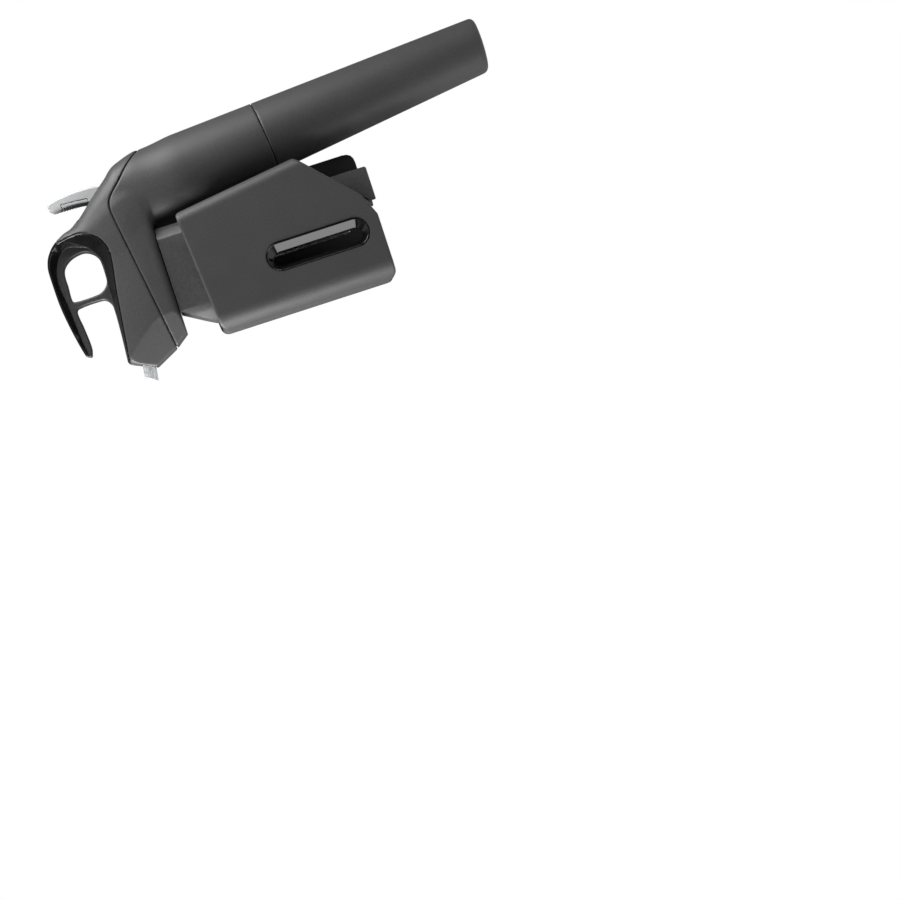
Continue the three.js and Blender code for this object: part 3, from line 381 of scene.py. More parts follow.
# Outlines seen from the side, each with the numbers of the points that it keeps sharp
FRONT_CORNERS = (0, 15, 16, 17, 18, 19)
FRONT_SHARES = [
    (0.62, 0), (0.72, 0.12), (0.66, 0.36), (0.6, 0.5), (0.566, 0.66), (0.585, 0.75), (0.564, 0.826),
    (0.523, 0.9), (0.479, 0.948), (0.441, 0.975), (0.379, 0.996), (0.277, 0.999), (0.118, 0.995),
    (-0.07, 0.973), (-0.387, 0.939), (-0.55, 0.916), (-0.834, 0.579),
    (-1, 0.343), (-0.828, 0.13), (-0.67, 0),
]
# Level, rear edge, front edge and half width of the rear of the head, then how square it is
REAR_SHARES = [
    (-0.04, 1, 0.44, 1.0, 2.2), (0.03, 0.984, 0.42, 0.99, 2.5), (0.1, 0.964, 0.38, 0.985, 2.8),
    (0.186, 0.934, 0.34, 0.985, 3.1), (0.278, 0.873, 0.3, 0.97, 3.2), (0.42, 0.783, 0.28, 0.92, 3.2),
    (0.578, 0.676, 0.26, 0.82, 3.2), (0.67, 0.624, 0.26, 0.75, 3), (0.8, 0.57, 0.3, 0.66, 2.8),
]
SEAM_CORNERS = (0, 8, 9, 10, 11, 12, 13)
SEAM_SHARES = [
    (1.06, -0.18), (0.977, -0.057), (0.903, 0.05), (0.805, 0.163), (0.736, 0.253), (0.702, 0.285),
    (0.664, 0.303), (0.609, 0.305), (0.56, 0.298), (-0.822, 0.125), (-1.2, 0.09), (-2, 0.3), (-2, 2),
    (1.2, 2),
]
SEAT_CORNERS = (0, 12, 13, 14)
SEAT_SHARES = [
    (0.7, 0.86), (0.558, 0.852), (0.543, 0.822), (0.55, 0.74), (0.555, 0.67), (0.536, 0.577),
    (0.485, 0.487), (0.412, 0.433), (0.343, 0.42), (0.09, 0.47), (-0.27, 0.508), (-0.83, 0.555),
    (-1.2, 0.59), (-2, 2), (0.7, 2),
]
WINDOW_SHARES = [
    (0.427, 0.655), (0.42, 0.74), (0.405, 0.79), (0.378, 0.838), (0.345, 0.866), (0.3, 0.876),
    (0.241, 0.876), (0.135, 0.881), (0.113, 0.858), (0.113, 0.655), (0.125, 0.6), (0.153, 0.556),
    (0.182, 0.536), (0.24, 0.53), (0.315, 0.531), (0.365, 0.546), (0.405, 0.59),
]
MOUTH_CORNERS = (7, 8)
MOUTH_SHARES = [
    (0.07, 0.633), (0.064, 0.847), (0.041, 0.87), (-0.129, 0.857), (-0.393, 0.845), (-0.5, 0.85),
    (-0.72, 0.89), (-1.3, 0.89), (-1.3, 0.6), (-0.834, 0.582), (-0.42, 0.561), (-0.015, 0.55),
    (0.03, 0.563), (0.058, 0.59),
]
WEB_CORNERS = (0, 14)
WEB_SHARES = [
    (-1.2, 0.595), (-0.417, 0.563), (-0.006, 0.542), (0.162, 0.533), (0.329, 0.519), (0.435, 0.586),
    (0.467, 0.661), (0.491, 0.778), (0.452, 0.856), (0.358, 0.923), (0.258, 0.944), (0.129, 0.927),
    (-0.067, 0.91), (-0.439, 0.893), (-0.9, 0.85),
]
RECESS_CORNERS = (0, 19)
RECESS_SHARES = [
    (-1.2, 0.6), (-0.83, 0.563), (-0.27, 0.516), (0.09, 0.478), (0.337, 0.43), (0.402, 0.443),
    (0.472, 0.495), (0.523, 0.58), (0.542, 0.67), (0.54, 0.76), (0.535, 0.85), (0.51, 0.945),
    (0.447, 0.995), (0.364, 1.018), (0.242, 1.02), (0.118, 1.014), (-0.07, 0.99), (-0.387, 0.957),
    (-0.6, 0.925), (-1.2, 0.82),
]
# Places and half widths of the corners of the nose's two cut faces
APEX_SHARES = (-0.374, 0.203, 0.966)
NOSE_FACET_SHARES = [APEX_SHARES, (-0.844, 0.523, 0.72), (-0.98, 0.335, 0.55)]
CHIN_FACET_SHARES = [APEX_SHARES, (-0.33, 0, 0.966), (-0.822, 0.125, 0.597)]
FACET_EDGE = 0.3
# Levels of the head's block and its half width there
WIDTH_SHARES = [(0.0, 1), (0.22, 1), (0.4, 0.92), (0.565, 0.8),
                (1.02, LOOP_TOP_HALF_WIDTH / HEAD_HALF_WIDTH)]


def head_facet(rows):
    corners = []
    for along, up, out in rows:
        x, z = head_point((along, up))
        corners.append((x, out * HEAD_HALF_WIDTH, z))
    return facet(corners, (0, 0, HEAD_FLOOR))


front_outline = head_outline(FRONT_SHARES, FRONT_CORNERS)
above_seam = head_outline(SEAM_SHARES, SEAM_CORNERS)
above_seat = head_outline(SEAT_SHARES, SEAT_CORNERS)
window = head_outline(WINDOW_SHARES, ())
mouth = head_outline(MOUTH_SHARES, MOUTH_CORNERS)
web_edge = head_outline(WEB_SHARES, WEB_CORNERS)
recess_edge = head_outline(RECESS_SHARES, RECESS_CORNERS)
nose_facet = head_facet(NOSE_FACET_SHARES)
chin_facet = head_facet(CHIN_FACET_SHARES)


def handle_cone(x, y, z):
    across, along = in_handle(x, z)
    return np.hypot(across, y) - (SEAM_RADIUS + HANDLE_TAPER * along)


def rear_form(x, y, z):
    levels = [HEAD_FLOOR + row[0] * HEAD_RISE for row in REAR_SHARES]
    rear, front, width, square = (eased(z, levels, [row[k] for row in REAR_SHARES]) for k in range(1, 5))
    middle, reach = (rear + front) * HEAD_REAR / 2, (rear - front) * HEAD_REAR / 2
    side = width * HEAD_HALF_WIDTH
    ratio = (np.abs((x - middle) / reach) ** square + np.abs(y / side) ** square) ** (1 / square)
    section = (ratio - 1) * np.minimum(reach, side)
    return rounded_meet(section, z - levels[-1], HEAD_EDGE)


def half_width(z):
    """Half width of the head's block at a level."""
    levels, widths = np.array(WIDTH_SHARES).T
    return HEAD_HALF_WIDTH * eased(z, HEAD_FLOOR + HEAD_RISE * levels, widths) - BLOCK_INSET


def head_form(x, y, z):
    """Outside of the head and handle: the handle's cone eases into the rear, and the block joins it."""
    start = SEAM_Z + HANDLE_TOP
    share = np.clip((z - start) / (HEAD_FLOOR + REAR_SHARES[0][0] * HEAD_RISE - start), 0, 1)
    share = share * share * (3 - 2 * share)
    rear = (1 - share) * handle_cone(x, y, z) + share * rear_form(x, y, z)
    block = rounded_meet(front_outline(x, z), np.abs(y) - half_width(z), HEAD_EDGE)
    form = filleted_join(rear, block, HEAD_FILLET)
    return rounded_meet(form, np.minimum(nose_facet(x, np.abs(y), z), chin_facet(x, np.abs(y), z)),
                        FACET_EDGE)


SPOUT_SHARE = (-0.963, 0.412)
PIVOT_SHARE = (0.765, 0.287)
SPOUT_X, SPOUT_Z = head_point(SPOUT_SHARE)
PIVOT_X, PIVOT_Z = head_point(PIVOT_SHARE)
# The lever's slot: below and ahead of the pivot, and its top
SLOT_FALL_SHARE = 0.03
SLOT_DEPTH_SHARE = 0.13
SLOT_TOP_SHARE = 0.6


def along_spout(x, y, z):
    """Distance from the spout's axis, and the place along it."""
    dx, dz = x - SPOUT_X, z - SPOUT_Z
    along = -dx * math.cos(SPOUT_RISE) + dz * math.sin(SPOUT_RISE)
    across = dx * math.sin(SPOUT_RISE) + dz * math.cos(SPOUT_RISE)
    return np.hypot(across, y), along


def seam_lip(form, seam, clearance):
    """Inner half of the wall, which laps behind the seam."""
    return np.maximum(form + SEAM_LIP_DEPTH - clearance, -seam - SEAM_LIP_HEIGHT - clearance)


def main_shell_form(x, y, z):
    form = head_form(x, y, z)
    seam = above_seam(x, z)
    _, along = in_handle(x, z)
    wall = np.maximum(form, -(form + SHELL_WALL))
    wall = rounded_meet(wall, SHELL_GAP / 2 - along, SEAM_EDGE)
    shell = rounded_meet(wall, SHELL_GAP / 2 - seam, SEAM_EDGE)
    shell = np.minimum(shell, np.maximum(wall, seam_lip(form, seam, 0)))
    return rounded_meet(shell, HUB_BORE - np.hypot(x, y), BORE_EDGE)


def nose_shell_form(x, y, z):
    form = head_form(x, y, z)
    seam, seat = above_seam(x, z), above_seat(x, z)
    shell = np.maximum(form, -np.maximum(form + SHELL_WALL, SHELL_WALL - seat))
    shell = rounded_meet(shell, seam + SHELL_GAP / 2, SEAM_EDGE)
    shell = np.maximum(shell, -seam_lip(form, seam, LIP_CLEARANCE))
    shell = rounded_meet(shell, -seat, BORE_EDGE)
    across, _ = along_spout(x, y, z)
    shell = rounded_meet(shell, SPOUT_RADIUS + SPOUT_CLEARANCE - across, BORE_EDGE)
    rise = box_distance(z, PIVOT_Z - SLOT_FALL_SHARE * HEAD_RISE, HEAD_FLOOR + SLOT_TOP_SHARE * HEAD_RISE)
    slot = np.maximum(np.abs(y) - LEVER_HALF_WIDTH - LEVER_CLEARANCE, rise)
    slot = np.maximum(slot, PIVOT_X - SLOT_DEPTH_SHARE * HEAD_REAR - x)
    return rounded_meet(shell, -slot, BORE_EDGE)


TAIL_SHARE = 0.72
TAIL_LEVEL = HEAD_FLOOR + TAIL_SHARE * HEAD_RISE
# Places along the hook and its half width there
HOOK_SHARES = [(-0.6, 0.5), (0, 0.86), (0.15, 1.06)]


def hook_half_width(x):
    """The hook widens from its tip, and spreads at 45 degrees behind its last listed place."""
    places = [head_point((along, 0))[0] for along, _ in HOOK_SHARES]
    width = eased(x, places, [share for _, share in HOOK_SHARES]) * LOOP_TOP_HALF_WIDTH
    return np.where(x > places[-1], width + x - places[-1], width)


def grip_insert_form(x, y, z):
    form = rounded_meet(head_form(x, y, z), above_seat(x, z) + SEAT_CLEARANCE, BORE_EDGE)
    thin = hook_half_width(x)
    reach = np.where(z > TAIL_LEVEL, np.minimum(half_width(z), thin), half_width(z))
    depth = (np.abs(y) - WEB_HALF_THICKNESS) / np.maximum(reach - WEB_HALF_THICKNESS, LEAST_DISH)
    depth = np.clip(depth, 0, 1)
    dish = (1 - depth) * web_edge(x, z) + depth * recess_edge(x, z)
    form = rounded_meet(form, -np.maximum(dish, WEB_HALF_THICKNESS - np.abs(y)), RIM_EDGE)
    tail = np.maximum(thin - np.abs(y), TAIL_LEVEL - z)
    form = rounded_meet(form, -tail, RIM_EDGE)
    form = rounded_meet(form, -window(x, z), WINDOW_EDGE)
    return rounded_meet(form, -mouth(x, z), WINDOW_EDGE)


def cup_form(x, y, z):
    across, along = in_handle(x, z)
    radius = np.hypot(across, y)
    end = SEAM_Z - CUP_LENGTH * math.cos(HANDLE_LEAN)
    cup = rounded_meet(handle_cone(x, y, z), end - z, CUP_END_EDGE)
    cup = rounded_meet(cup, along + CUP_GAP, SEAM_EDGE)
    thread_room = np.maximum(radius - THREAD_BORE, -THREAD_ROOM - along)
    bore = np.maximum(radius - CAPSULE_BORE, CUP_FLOOR - CUP_LENGTH - along)
    return rounded_meet(cup, -np.minimum(thread_room, bore), BORE_EDGE)


# Clamp: places are shares of its reach to the front or rear, and above or below the origin
def clamp_point(share):
    along, up = share
    return (along * (CLAMP_REAR if along > 0 else CLAMP_FRONT),
            up * (COLLAR_RISE if up > 0 else COVER_DEPTH))


COVER_SHARES = [(0.8, 1), (1.005, -0.6), (0.324, -0.939), (0.05, -1), (-1.01, -1), (-1.01, 0.7)]
COVER_RADII = [2.6, 2.5, 9, 3, 3.5, 4.5]
cover_outline = outline(with_arcs([clamp_point(share) for share in COVER_SHARES], COVER_RADII))
(rear_top_x, rear_top_z), (rear_low_x, rear_low_z) = (clamp_point(share) for share in COVER_SHARES[:2])
rear_edge = facet([(rear_top_x, 0, rear_top_z), (rear_low_x, 0, rear_low_z), (rear_low_x, 1, rear_low_z)],
                  (0, 0, 0))


def slot_distance(x, z):
    """Distance from the middle line of the cover's slot."""
    low, high = -SLOT_BOTTOM + SLOT_WIDTH / 2, -SLOT_TOP - SLOT_WIDTH / 2
    return np.hypot(x - SLOT_X, z - np.clip(z, low, high))


def cover_form(x, y, z):
    side = np.abs(y) - CLAMP_HALF_WIDTH
    block = np.maximum(rounded_meet(-CLAMP_FRONT - x, side, COVER_FRONT_RADIUS),
                       rounded_meet(rear_edge(x, y, z), side, COVER_REAR_RADIUS))
    wall = np.maximum(block, -(block + COVER_WALL))
    wall = rounded_meet(wall, cover_outline(x, z), COVER_EDGE)
    split = np.where(x < 0, COVER_SPLIT / 2 - np.abs(y), COVER_CURL - np.abs(y))
    wall = rounded_meet(wall, split, COVER_EDGE)
    return rounded_meet(wall, SLOT_WIDTH / 2 - slot_distance(x, z), BORE_EDGE)


def bezel_form(x, y, z):
    outside = CLAMP_HALF_WIDTH + BEZEL_PROUD
    outer = SLOT_WIDTH / 2 - BEZEL_GAP
    ring = rounded_meet(slot_distance(x, z) - outer, np.abs(y) - outside, BORE_EDGE)
    ring = np.maximum(ring, BEZEL_INNER - np.abs(y))
    rise = np.clip((np.abs(y) - outside) / BEZEL_SLOPE_DEPTH + 1, -1, 1)
    opening = THROAT_RADIUS + np.where(rise > 0, outer - BEZEL_LIP - THROAT_RADIUS, -THROAT_FLARE) * rise
    shift = (1 - np.maximum(rise, 0)) * THROAT_SHIFT
    return rounded_meet(ring, opening - slot_distance(x - shift, z), BORE_EDGE / 2)


# Trigger lever
LEVER_SHARES = [
    (0.833, 0.33), (0.842, 0.402), (0.845, 0.469), (0.844, 0.586), (0.835, 0.709), (0.817, 0.814),
    (0.798, 0.831), (0.777, 0.822), (0.758, 0.793), (0.758, 0.722), (0.756, 0.605), (0.745, 0.49),
    (0.727, 0.4), (0.685, 0.362), (0.63, 0.347), (0.618, 0.307), (0.63, 0.266), (0.689, 0.264),
    (0.732, 0.238), (0.765, 0.226), (0.8, 0.243), (0.823, 0.282),
]
INLAY_SHARES = [(0.773, 0.467), (0.783, 0.594), (0.788, 0.711), (0.6, 0.711), (0.6, 0.467)]
lever_outline = head_outline(LEVER_SHARES, (7, 8))
inlay_outline = head_outline(INLAY_SHARES)
INLAY_GAP = 0.15
INLAY_FLOOR = 0.15
RIB_COUNT = 9
RIB_SIZE = (0.5, 12.0, 0.6)
RIB_RUN_SHARES = [(0.7545, 0.5), (0.7578, 0.7)]


def lever_form(x, y, z):
    lever = rounded_meet(lever_outline(x, z), np.abs(y) - LEVER_HALF_WIDTH, LEVER_EDGE)
    lever = rounded_meet(lever, -inlay_outline(x, z), BORE_EDGE)
    return np.maximum(lever, PIVOT_HOLE - np.hypot(x - PIVOT_X, z - PIVOT_Z))


def lever_pad_form(x, y, z):
    pad = np.maximum(lever_outline(x, z) + INLAY_FLOOR, inlay_outline(x, z) + INLAY_GAP)
    return rounded_meet(pad, np.abs(y) - LEVER_HALF_WIDTH + INLAY_FLOOR, BORE_EDGE)


def spout_form(x, y, z):
    radius, along = along_spout(x, y, z)
    level = (x - SPOUT_X) * math.sin(SPOUT_RISE) + (z - SPOUT_Z) * math.cos(SPOUT_RISE)
    end = SPOUT_PROUD - SPOUT_SLANT * level / SPOUT_RADIUS
    tip = rounded_meet(radius - SPOUT_RADIUS, box_distance(along, -SPOUT_INSERT, end), SPOUT_EDGE)
    return rounded_meet(tip, SPOUT_BORE - radius, SPOUT_BORE_EDGE)


# Materials
def linear(hex_colour):
    """sRGB hex to the linear colour that a shader takes."""
    shares = [int(hex_colour[i:i + 2], 16) / 255 for i in (1, 3, 5)]
    return [c / 12.92 if c <= 0.04045 else ((c + 0.055) / 1.055) ** 2.4 for c in shares] + [1.0]


def add_node(tree, kind, links=(), **settings):
    """Adds a node, with its settings, and links (input, node, output) into it."""
    made = tree.nodes.new(kind)
    for name, value in settings.items():
        setattr(made, name, value)
    for target, source, output in links:
        tree.links.new(source.outputs[output], made.inputs[target])
    return made


def new_material(name, colour, roughness, metallic=0.0, ior=1.5):
    material = bpy.data.materials.new(name)
    material.use_nodes = True
    shader = material.node_tree.nodes["Principled BSDF"]
    shader.inputs["Base Color"].default_value = linear(colour)
    shader.inputs["Roughness"].default_value = roughness
    shader.inputs["Metallic"].default_value = metallic
    if not metallic:
        shader.inputs["IOR"].default_value = ior
    return material, material.node_tree, shader


def noise_at(tree, size_mm, detail=2.0, stretch=(1, 1, 1)):
    """Noise whose blobs are about size_mm across."""
    place = add_node(tree, "ShaderNodeTexCoord")
    mapping = add_node(tree, "ShaderNodeMapping", [("Vector", place, "Object")])
    mapping.inputs["Scale"].default_value = stretch
    noise = add_node(tree, "ShaderNodeTexNoise", [("Vector", mapping, "Vector")])
    noise.inputs["Scale"].default_value = 1 / (size_mm * MM)
    noise.inputs["Detail"].default_value = detail
    return noise


def add_grain(tree, shader, size_mm, height_mm, detail=2.0, stretch=(1, 1, 1)):
    noise = noise_at(tree, size_mm, detail, stretch)
    bump = add_node(tree, "ShaderNodeBump", [("Height", noise, "Fac")])
    bump.inputs["Distance"].default_value = height_mm * MM
    bump.inputs["Strength"].default_value = 1.0
    tree.links.new(bump.outputs["Normal"], shader.inputs["Normal"])


def add_mottle(tree, shader, size_mm, dark, light, low=0.35, high=0.65):
    """Colour that wanders between two close tones."""
    noise = noise_at(tree, size_mm, 3.0)
    ramp = add_node(tree, "ShaderNodeValToRGB", [("Fac", noise, "Fac")])
    ramp.color_ramp.elements[0].position = low
    ramp.color_ramp.elements[0].color = linear(dark)
    ramp.color_ramp.elements[1].position = high
    ramp.color_ramp.elements[1].color = linear(light)
    tree.links.new(ramp.outputs["Color"], shader.inputs["Base Color"])


def add_wear(tree, shader, size_mm, smooth, rough):
    """Roughness that varies as handled plastic's does."""
    noise = noise_at(tree, size_mm, 3.0)
    spread = add_node(tree, "ShaderNodeMapRange", [("Value", noise, "Fac")])
    spread.inputs["From Min"].default_value = 0.3
    spread.inputs["From Max"].default_value = 0.7
    spread.inputs["To Min"].default_value = smooth
    spread.inputs["To Max"].default_value = rough
    tree.links.new(spread.outputs["Result"], shader.inputs["Roughness"])


# ABS, moulded in a spark-eroded tool: a fine even sand texture that spreads every highlight.
# The real grit is about 0.1 mm, drawn at 0.5 mm so that it shows.
def moulded_abs():
    material, tree, shader = new_material("moulded_abs_grey", "#424242", 0.5)
    add_mottle(tree, shader, 0.6, "#3e3e3e", "#474747")
    add_wear(tree, shader, 14, 0.46, 0.54)
    add_grain(tree, shader, 0.5, 0.05)
    return material


# ABS polished in the tool: near-black, mirror-like, with the faintest flow waves.
def polished_abs():
    material, tree, shader = new_material("polished_abs_black", "#141415", 0.07)
    add_wear(tree, shader, 20, 0.05, 0.1)
    add_grain(tree, shader, 9, 0.01, 0.0)
    return material


# The same black ABS where the tool is textured: satin, and painted a little lighter, a painted sheen for
# the light that its texture spreads.
def satin_abs_painted_sheen():
    material, tree, shader = new_material("satin_abs_black_painted_sheen", "#3c3c3c", 0.45)
    add_mottle(tree, shader, 0.6, "#383838", "#424242")
    add_grain(tree, shader, 0.5, 0.03)
    return material


# Acetal, as bearing parts are: black, waxy and slightly shiny.
def acetal():
    material, tree, shader = new_material("acetal_black", "#0e0e0f", 0.2)
    add_wear(tree, shader, 12, 0.16, 0.24)
    add_grain(tree, shader, 0.8, 0.015)
    return material


# Glass-filled nylon of the frame: the covers' grey, with the fill's faint streaks.
def filled_nylon():
    material, tree, shader = new_material("filled_nylon_grey", "#424242", 0.5)
    add_mottle(tree, shader, 1.2, "#3e3e3e", "#464646")
    add_grain(tree, shader, 0.5, 0.04, 2.0, (1, 1, 0.3))
    return material


# Silicone rubber: dull, dark, with a soft edge to its shine.
def silicone():
    material, tree, shader = new_material("silicone_black", "#1c1c1d", 0.7)
    add_grain(tree, shader, 0.4, 0.05)
    return material


# Zinc casting under satin silver paint: metal flake just visible, spreading the highlight.
def silver_paint():
    material, tree, shader = new_material("satin_silver_paint", "#c0c1c2", 0.55, 0.1)
    add_mottle(tree, shader, 0.5, "#bbbcbd", "#c5c6c7")
    add_grain(tree, shader, 0.5, 0.012)
    return material


# Silver-filled soft plastic of the finger pad: a touch darker than the lever that it sits in.
def silver_pad():
    material, tree, shader = new_material("silver_filled_plastic", "#b9babb", 0.55, 0.1)
    add_mottle(tree, shader, 0.5, "#b2b3b4", "#bebfc0")
    add_grain(tree, shader, 0.4, 0.02)
    return material


# Stainless steel, drawn and brushed: streaks along its length.
def drawn_steel():
    material, tree, shader = new_material("drawn_steel", "#c4c6c9", 0.25, 1.0)
    add_wear(tree, shader, 3, 0.18, 0.34)
    add_grain(tree, shader, 0.3, 0.01, 2.0, (1, 1, 0.05))
    return material


# Brass, turned on a lathe: warm, with fine rings.
def turned_brass():
    material, tree, shader = new_material("turned_brass", "#c29a52", 0.28, 1.0)
    add_wear(tree, shader, 4, 0.22, 0.36)
    add_grain(tree, shader, 0.3, 0.01, 2.0, (0.05, 0.05, 1))
    return material


# Polypropylene, unpigmented: milky and clear at once.
def clear_polypropylene():
    material, tree, shader = new_material("clear_polypropylene", "#eef1f2", 0.2, 0.0, 1.49)
    shader.inputs["Transmission Weight"].default_value = 0.55
    add_grain(tree, shader, 1.5, 0.02)
    return material


ABS, GLOSS, SATIN_PAINTED_SHEEN, ACETAL = moulded_abs(), polished_abs(), satin_abs_painted_sheen(), acetal()
NYLON, SILICONE, SILVER, SILVER_PAD = filled_nylon(), silicone(), silver_paint(), silver_pad()
STEEL, BRASS, CLEAR = drawn_steel(), turned_brass(), clear_polypropylene()
SLOT_MATERIALS = {
    "shell_plastic": ABS, "gloss_black": GLOSS, "rail_black": ACETAL, "frame_grey": NYLON,
    "rubber": SILICONE, "silver": SILVER, "steel": STEEL, "brass": BRASS, "clear_plastic": CLEAR,
}


# Pieces whose surface is worked out here
def span(node, margin=1.5):
    """Corners of a node's box in millimetres, with a margin."""
    low, high = (np.array(corner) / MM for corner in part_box(node))
    return low - margin, high + margin


def formed(name, form, node, cell, material, body, slot, low=None, high=None):
    node_low, node_high = span(node)
    low = node_low if low is None else np.array(low, float)
    high = node_high if high is None else np.array(high, float)
    points, faces = net(form, low, high, cell)
    piece = new_object(name, points, faces, [material])
    if material in (GLOSS, SILVER):
        polish(piece, form)
    return dress(piece, body, slot, node)


def one_sided(form, side):
    return lambda x, y, z: np.maximum(form(x, y, z), -side * y)


def make_head():
    formed("main_shell_skin", main_shell_form, "main_shell", COARSE, ABS, "head", "shell_plastic")
    formed("nose_shell_skin", nose_shell_form, "nose_shell", COARSE, ABS, "head", "shell_plastic")
    insert = formed("grip_insert_skin", grip_insert_form, "grip_insert", FINE, GLOSS, "head",
                    "gloss_black")
    insert.data.materials.append(SATIN_PAINTED_SHEEN)
    # The web's faces take the satin material, whose lighter colour is painted sheen.
    level = (WEB_HALF_THICKNESS + SATIN_SHEEN_MARGIN) * MM
    for polygon in insert.data.polygons:
        if abs(polygon.center.y) < level:
            polygon.material_index = 1
    formed("spout_tip_skin", spout_form, "spout_tip", FINE, CLEAR, "head", "clear_plastic")


def make_jaws():
    for name, side in (("left", 1), ("right", -1)):
        body = "jaw_" + name
        formed(f"jaw_cover_{name}_skin", one_sided(cover_form, side), f"jaw_cover_{name}", COARSE, ABS,
               body, "shell_plastic")
        formed(f"window_bezel_{name}_skin", one_sided(bezel_form, side), f"window_bezel_{name}", FINEST,
               GLOSS, body, "gloss_black")


BAR_ROUND_SHARE = 0.25


def repeated_bars(name, start, end, count, size, material):
    """Equal bars in a row from start to end, made once by Geometry Nodes."""
    group = bpy.data.node_groups.new(name, "GeometryNodeTree")
    socket = group.interface.new_socket("Count", in_out="INPUT", socket_type="NodeSocketInt")
    group.interface.new_socket("Geometry", in_out="OUTPUT", socket_type="NodeSocketGeometry")
    given = add_node(group, "NodeGroupInput")
    row = add_node(group, "GeometryNodeMeshLine", [("Count", given, "Count")])
    row.inputs["Start Location"].default_value = [value * MM for value in start]
    row.inputs["Offset"].default_value = [(b - a) * MM / (count - 1) for a, b in zip(start, end)]
    bar = add_node(group, "GeometryNodeMeshCube")
    bar.inputs["Size"].default_value = [value * MM for value in size]
    copies = add_node(group, "GeometryNodeInstanceOnPoints", [("Points", row, "Mesh"),
                                                             ("Instance", bar, "Mesh")])
    real = add_node(group, "GeometryNodeRealizeInstances", [("Geometry", copies, "Instances")])
    painted = add_node(group, "GeometryNodeSetMaterial", [("Geometry", real, "Geometry")])
    painted.inputs["Material"].default_value = material
    add_node(group, "NodeGroupOutput", [("Geometry", painted, "Geometry")])
    piece = bpy.data.objects.new(name, bpy.data.meshes.new(name))
    bpy.context.collection.objects.link(piece)
    nodes = piece.modifiers.new("bars", "NODES")
    nodes.node_group = group
    nodes[socket.identifier] = count
    rounding = piece.modifiers.new("edges", "BEVEL")
    rounding.width = min(size) * BAR_ROUND_SHARE * MM
    rounding.segments = 2
    return baked(piece)


def baked(piece):
    """Piece with its modifiers worked into the mesh."""
    mesh = bpy.data.meshes.new_from_object(piece.evaluated_get(bpy.context.evaluated_depsgraph_get()))
    piece.modifiers.clear()
    piece.data = mesh
    mesh.shade_smooth()
    mesh.set_sharp_from_angle(angle=SHARP_ANGLE)
    return piece


def make_trigger_and_cup():
    formed("trigger_lever_skin", lever_form, "trigger_lever", FINEST, SILVER, "trigger", "silver")
    points, faces = net(lever_pad_form, *span("trigger_lever"), FINE)
    dress(new_object("trigger_pad", points, faces, [SILVER_PAD]), "trigger", "silver")
    (x0, z0), (x1, z1) = (head_point(share) for share in RIB_RUN_SHARES)
    ribs = repeated_bars("trigger_ribs", (x0, 0, z0), (x1, 0, z1), RIB_COUNT, RIB_SIZE, SILVER_PAD)
    dress(ribs, "trigger", "silver")
    formed("capsule_cup_skin", cup_form, "capsule_cup", COARSE, ABS, "cup", "shell_plastic")


# Other pieces: the node's own shape, with its edges rounded and its round faces smooth
EDGE_ROUNDS = {"clamp_frame": 0.9, "guide_rail": 0.9, "jaw_carrier_left": 0.6, "jaw_carrier_right": 0.6,
               "grip_pad_left": 0.5, "grip_pad_right": 0.5, "manifold_block": 0.6, "needle_nut": 0.5}
SMALL_ROUND = 0.15
EDGE_STEPS = 3
WELD_DISTANCE = 0.002
FLAT_ANGLE = math.radians(1)

# Frame: its sleeve's front, which the node has as a flat between two chamfers, and its foot
SLEEVE_ZONE = -4
SLEEVE_FLOOR = 3
SLEEVE_FRONT = 21.9
SLEEVE_HALF_WIDTH = 15.3
SLEEVE_RADIUS = 12
SLEEVE_SLANT_Z = 11
SLEEVE_SLOPE = 1.6
CHAMFER_END = (-15.33, 15.3)
CHAMFER_START = (-21.9, 8.415)
SLEEVE_STEPS = 9
SLEEVE_RISE = 0.15
SLEEVE_TOP_ZONE = 1
FRAME_FOOT = -74
FRAME_REAR_ZONE = 20
FRAME_FOOT_ROUND = 2.6
FOOT_STEPS = 6
FOOT_LEAST_ANGLE = 1
SAME_PLACE = 0.05


def cut_across(made, place, normal):
    """Cuts the faces around the sleeve's front with one plane."""
    near = [face for face in made.faces if any(
        vertex.co.x < SLEEVE_ZONE * MM and vertex.co.z > SAME_PLACE * MM for vertex in face.verts)]
    parts = set(near)
    for face in near:
        parts.update(face.verts)
        parts.update(face.edges)
    bmesh.ops.bisect_plane(made, geom=list(parts), plane_co=[value * MM for value in place],
                           plane_no=normal)


def round_sleeve(made):
    """Turns the sleeve's chamfered front corners into round ones."""
    start_x, start_y = SLEEVE_RADIUS - SLEEVE_FRONT, SLEEVE_HALF_WIDTH - SLEEVE_RADIUS
    for step in range(SLEEVE_STEPS):
        turn = math.pi / 2 * step / SLEEVE_STEPS
        x, y = start_x - SLEEVE_RADIUS * math.cos(turn), start_y + SLEEVE_RADIUS * math.sin(turn)
        if y > CHAMFER_START[1]:
            cut_across(made, (x, 0, 0), (1, 0, 0))
        else:
            cut_across(made, (0, y, 0), (0, 1, 0))
            cut_across(made, (0, -y, 0), (0, 1, 0))
    for vertex in made.verts:
        x, y, z = vertex.co / MM
        side = math.copysign(1, y)
        if x > start_x or z < SLEEVE_FLOOR - SAME_PLACE or abs(y) > SLEEVE_HALF_WIDTH + SAME_PLACE:
            continue
        if x < SAME_PLACE - SLEEVE_FRONT:
            x = start_x - math.sqrt(SLEEVE_RADIUS ** 2 - max(abs(y) - start_y, 0) ** 2)
            if z > SLEEVE_SLANT_Z - SAME_PLACE:
                z += SLEEVE_SLOPE * (x + SLEEVE_FRONT)
        elif abs(y) > np.interp(x, *zip(CHAMFER_START, CHAMFER_END)) - SAME_PLACE:
            y = side * (start_y + math.sqrt(SLEEVE_RADIUS ** 2 - (start_x - x) ** 2))
        vertex.co = (x * MM, y * MM, z * MM)


def frame_foot_corner(edge):
    """Whether an edge runs across the frame at its foot, behind the rail."""
    a, b = (vertex.co / MM for vertex in edge.verts)
    return max(a.z, b.z) < FRAME_FOOT and min(a.x, b.x) > FRAME_REAR_ZONE and abs(a.x - b.x) < TINY


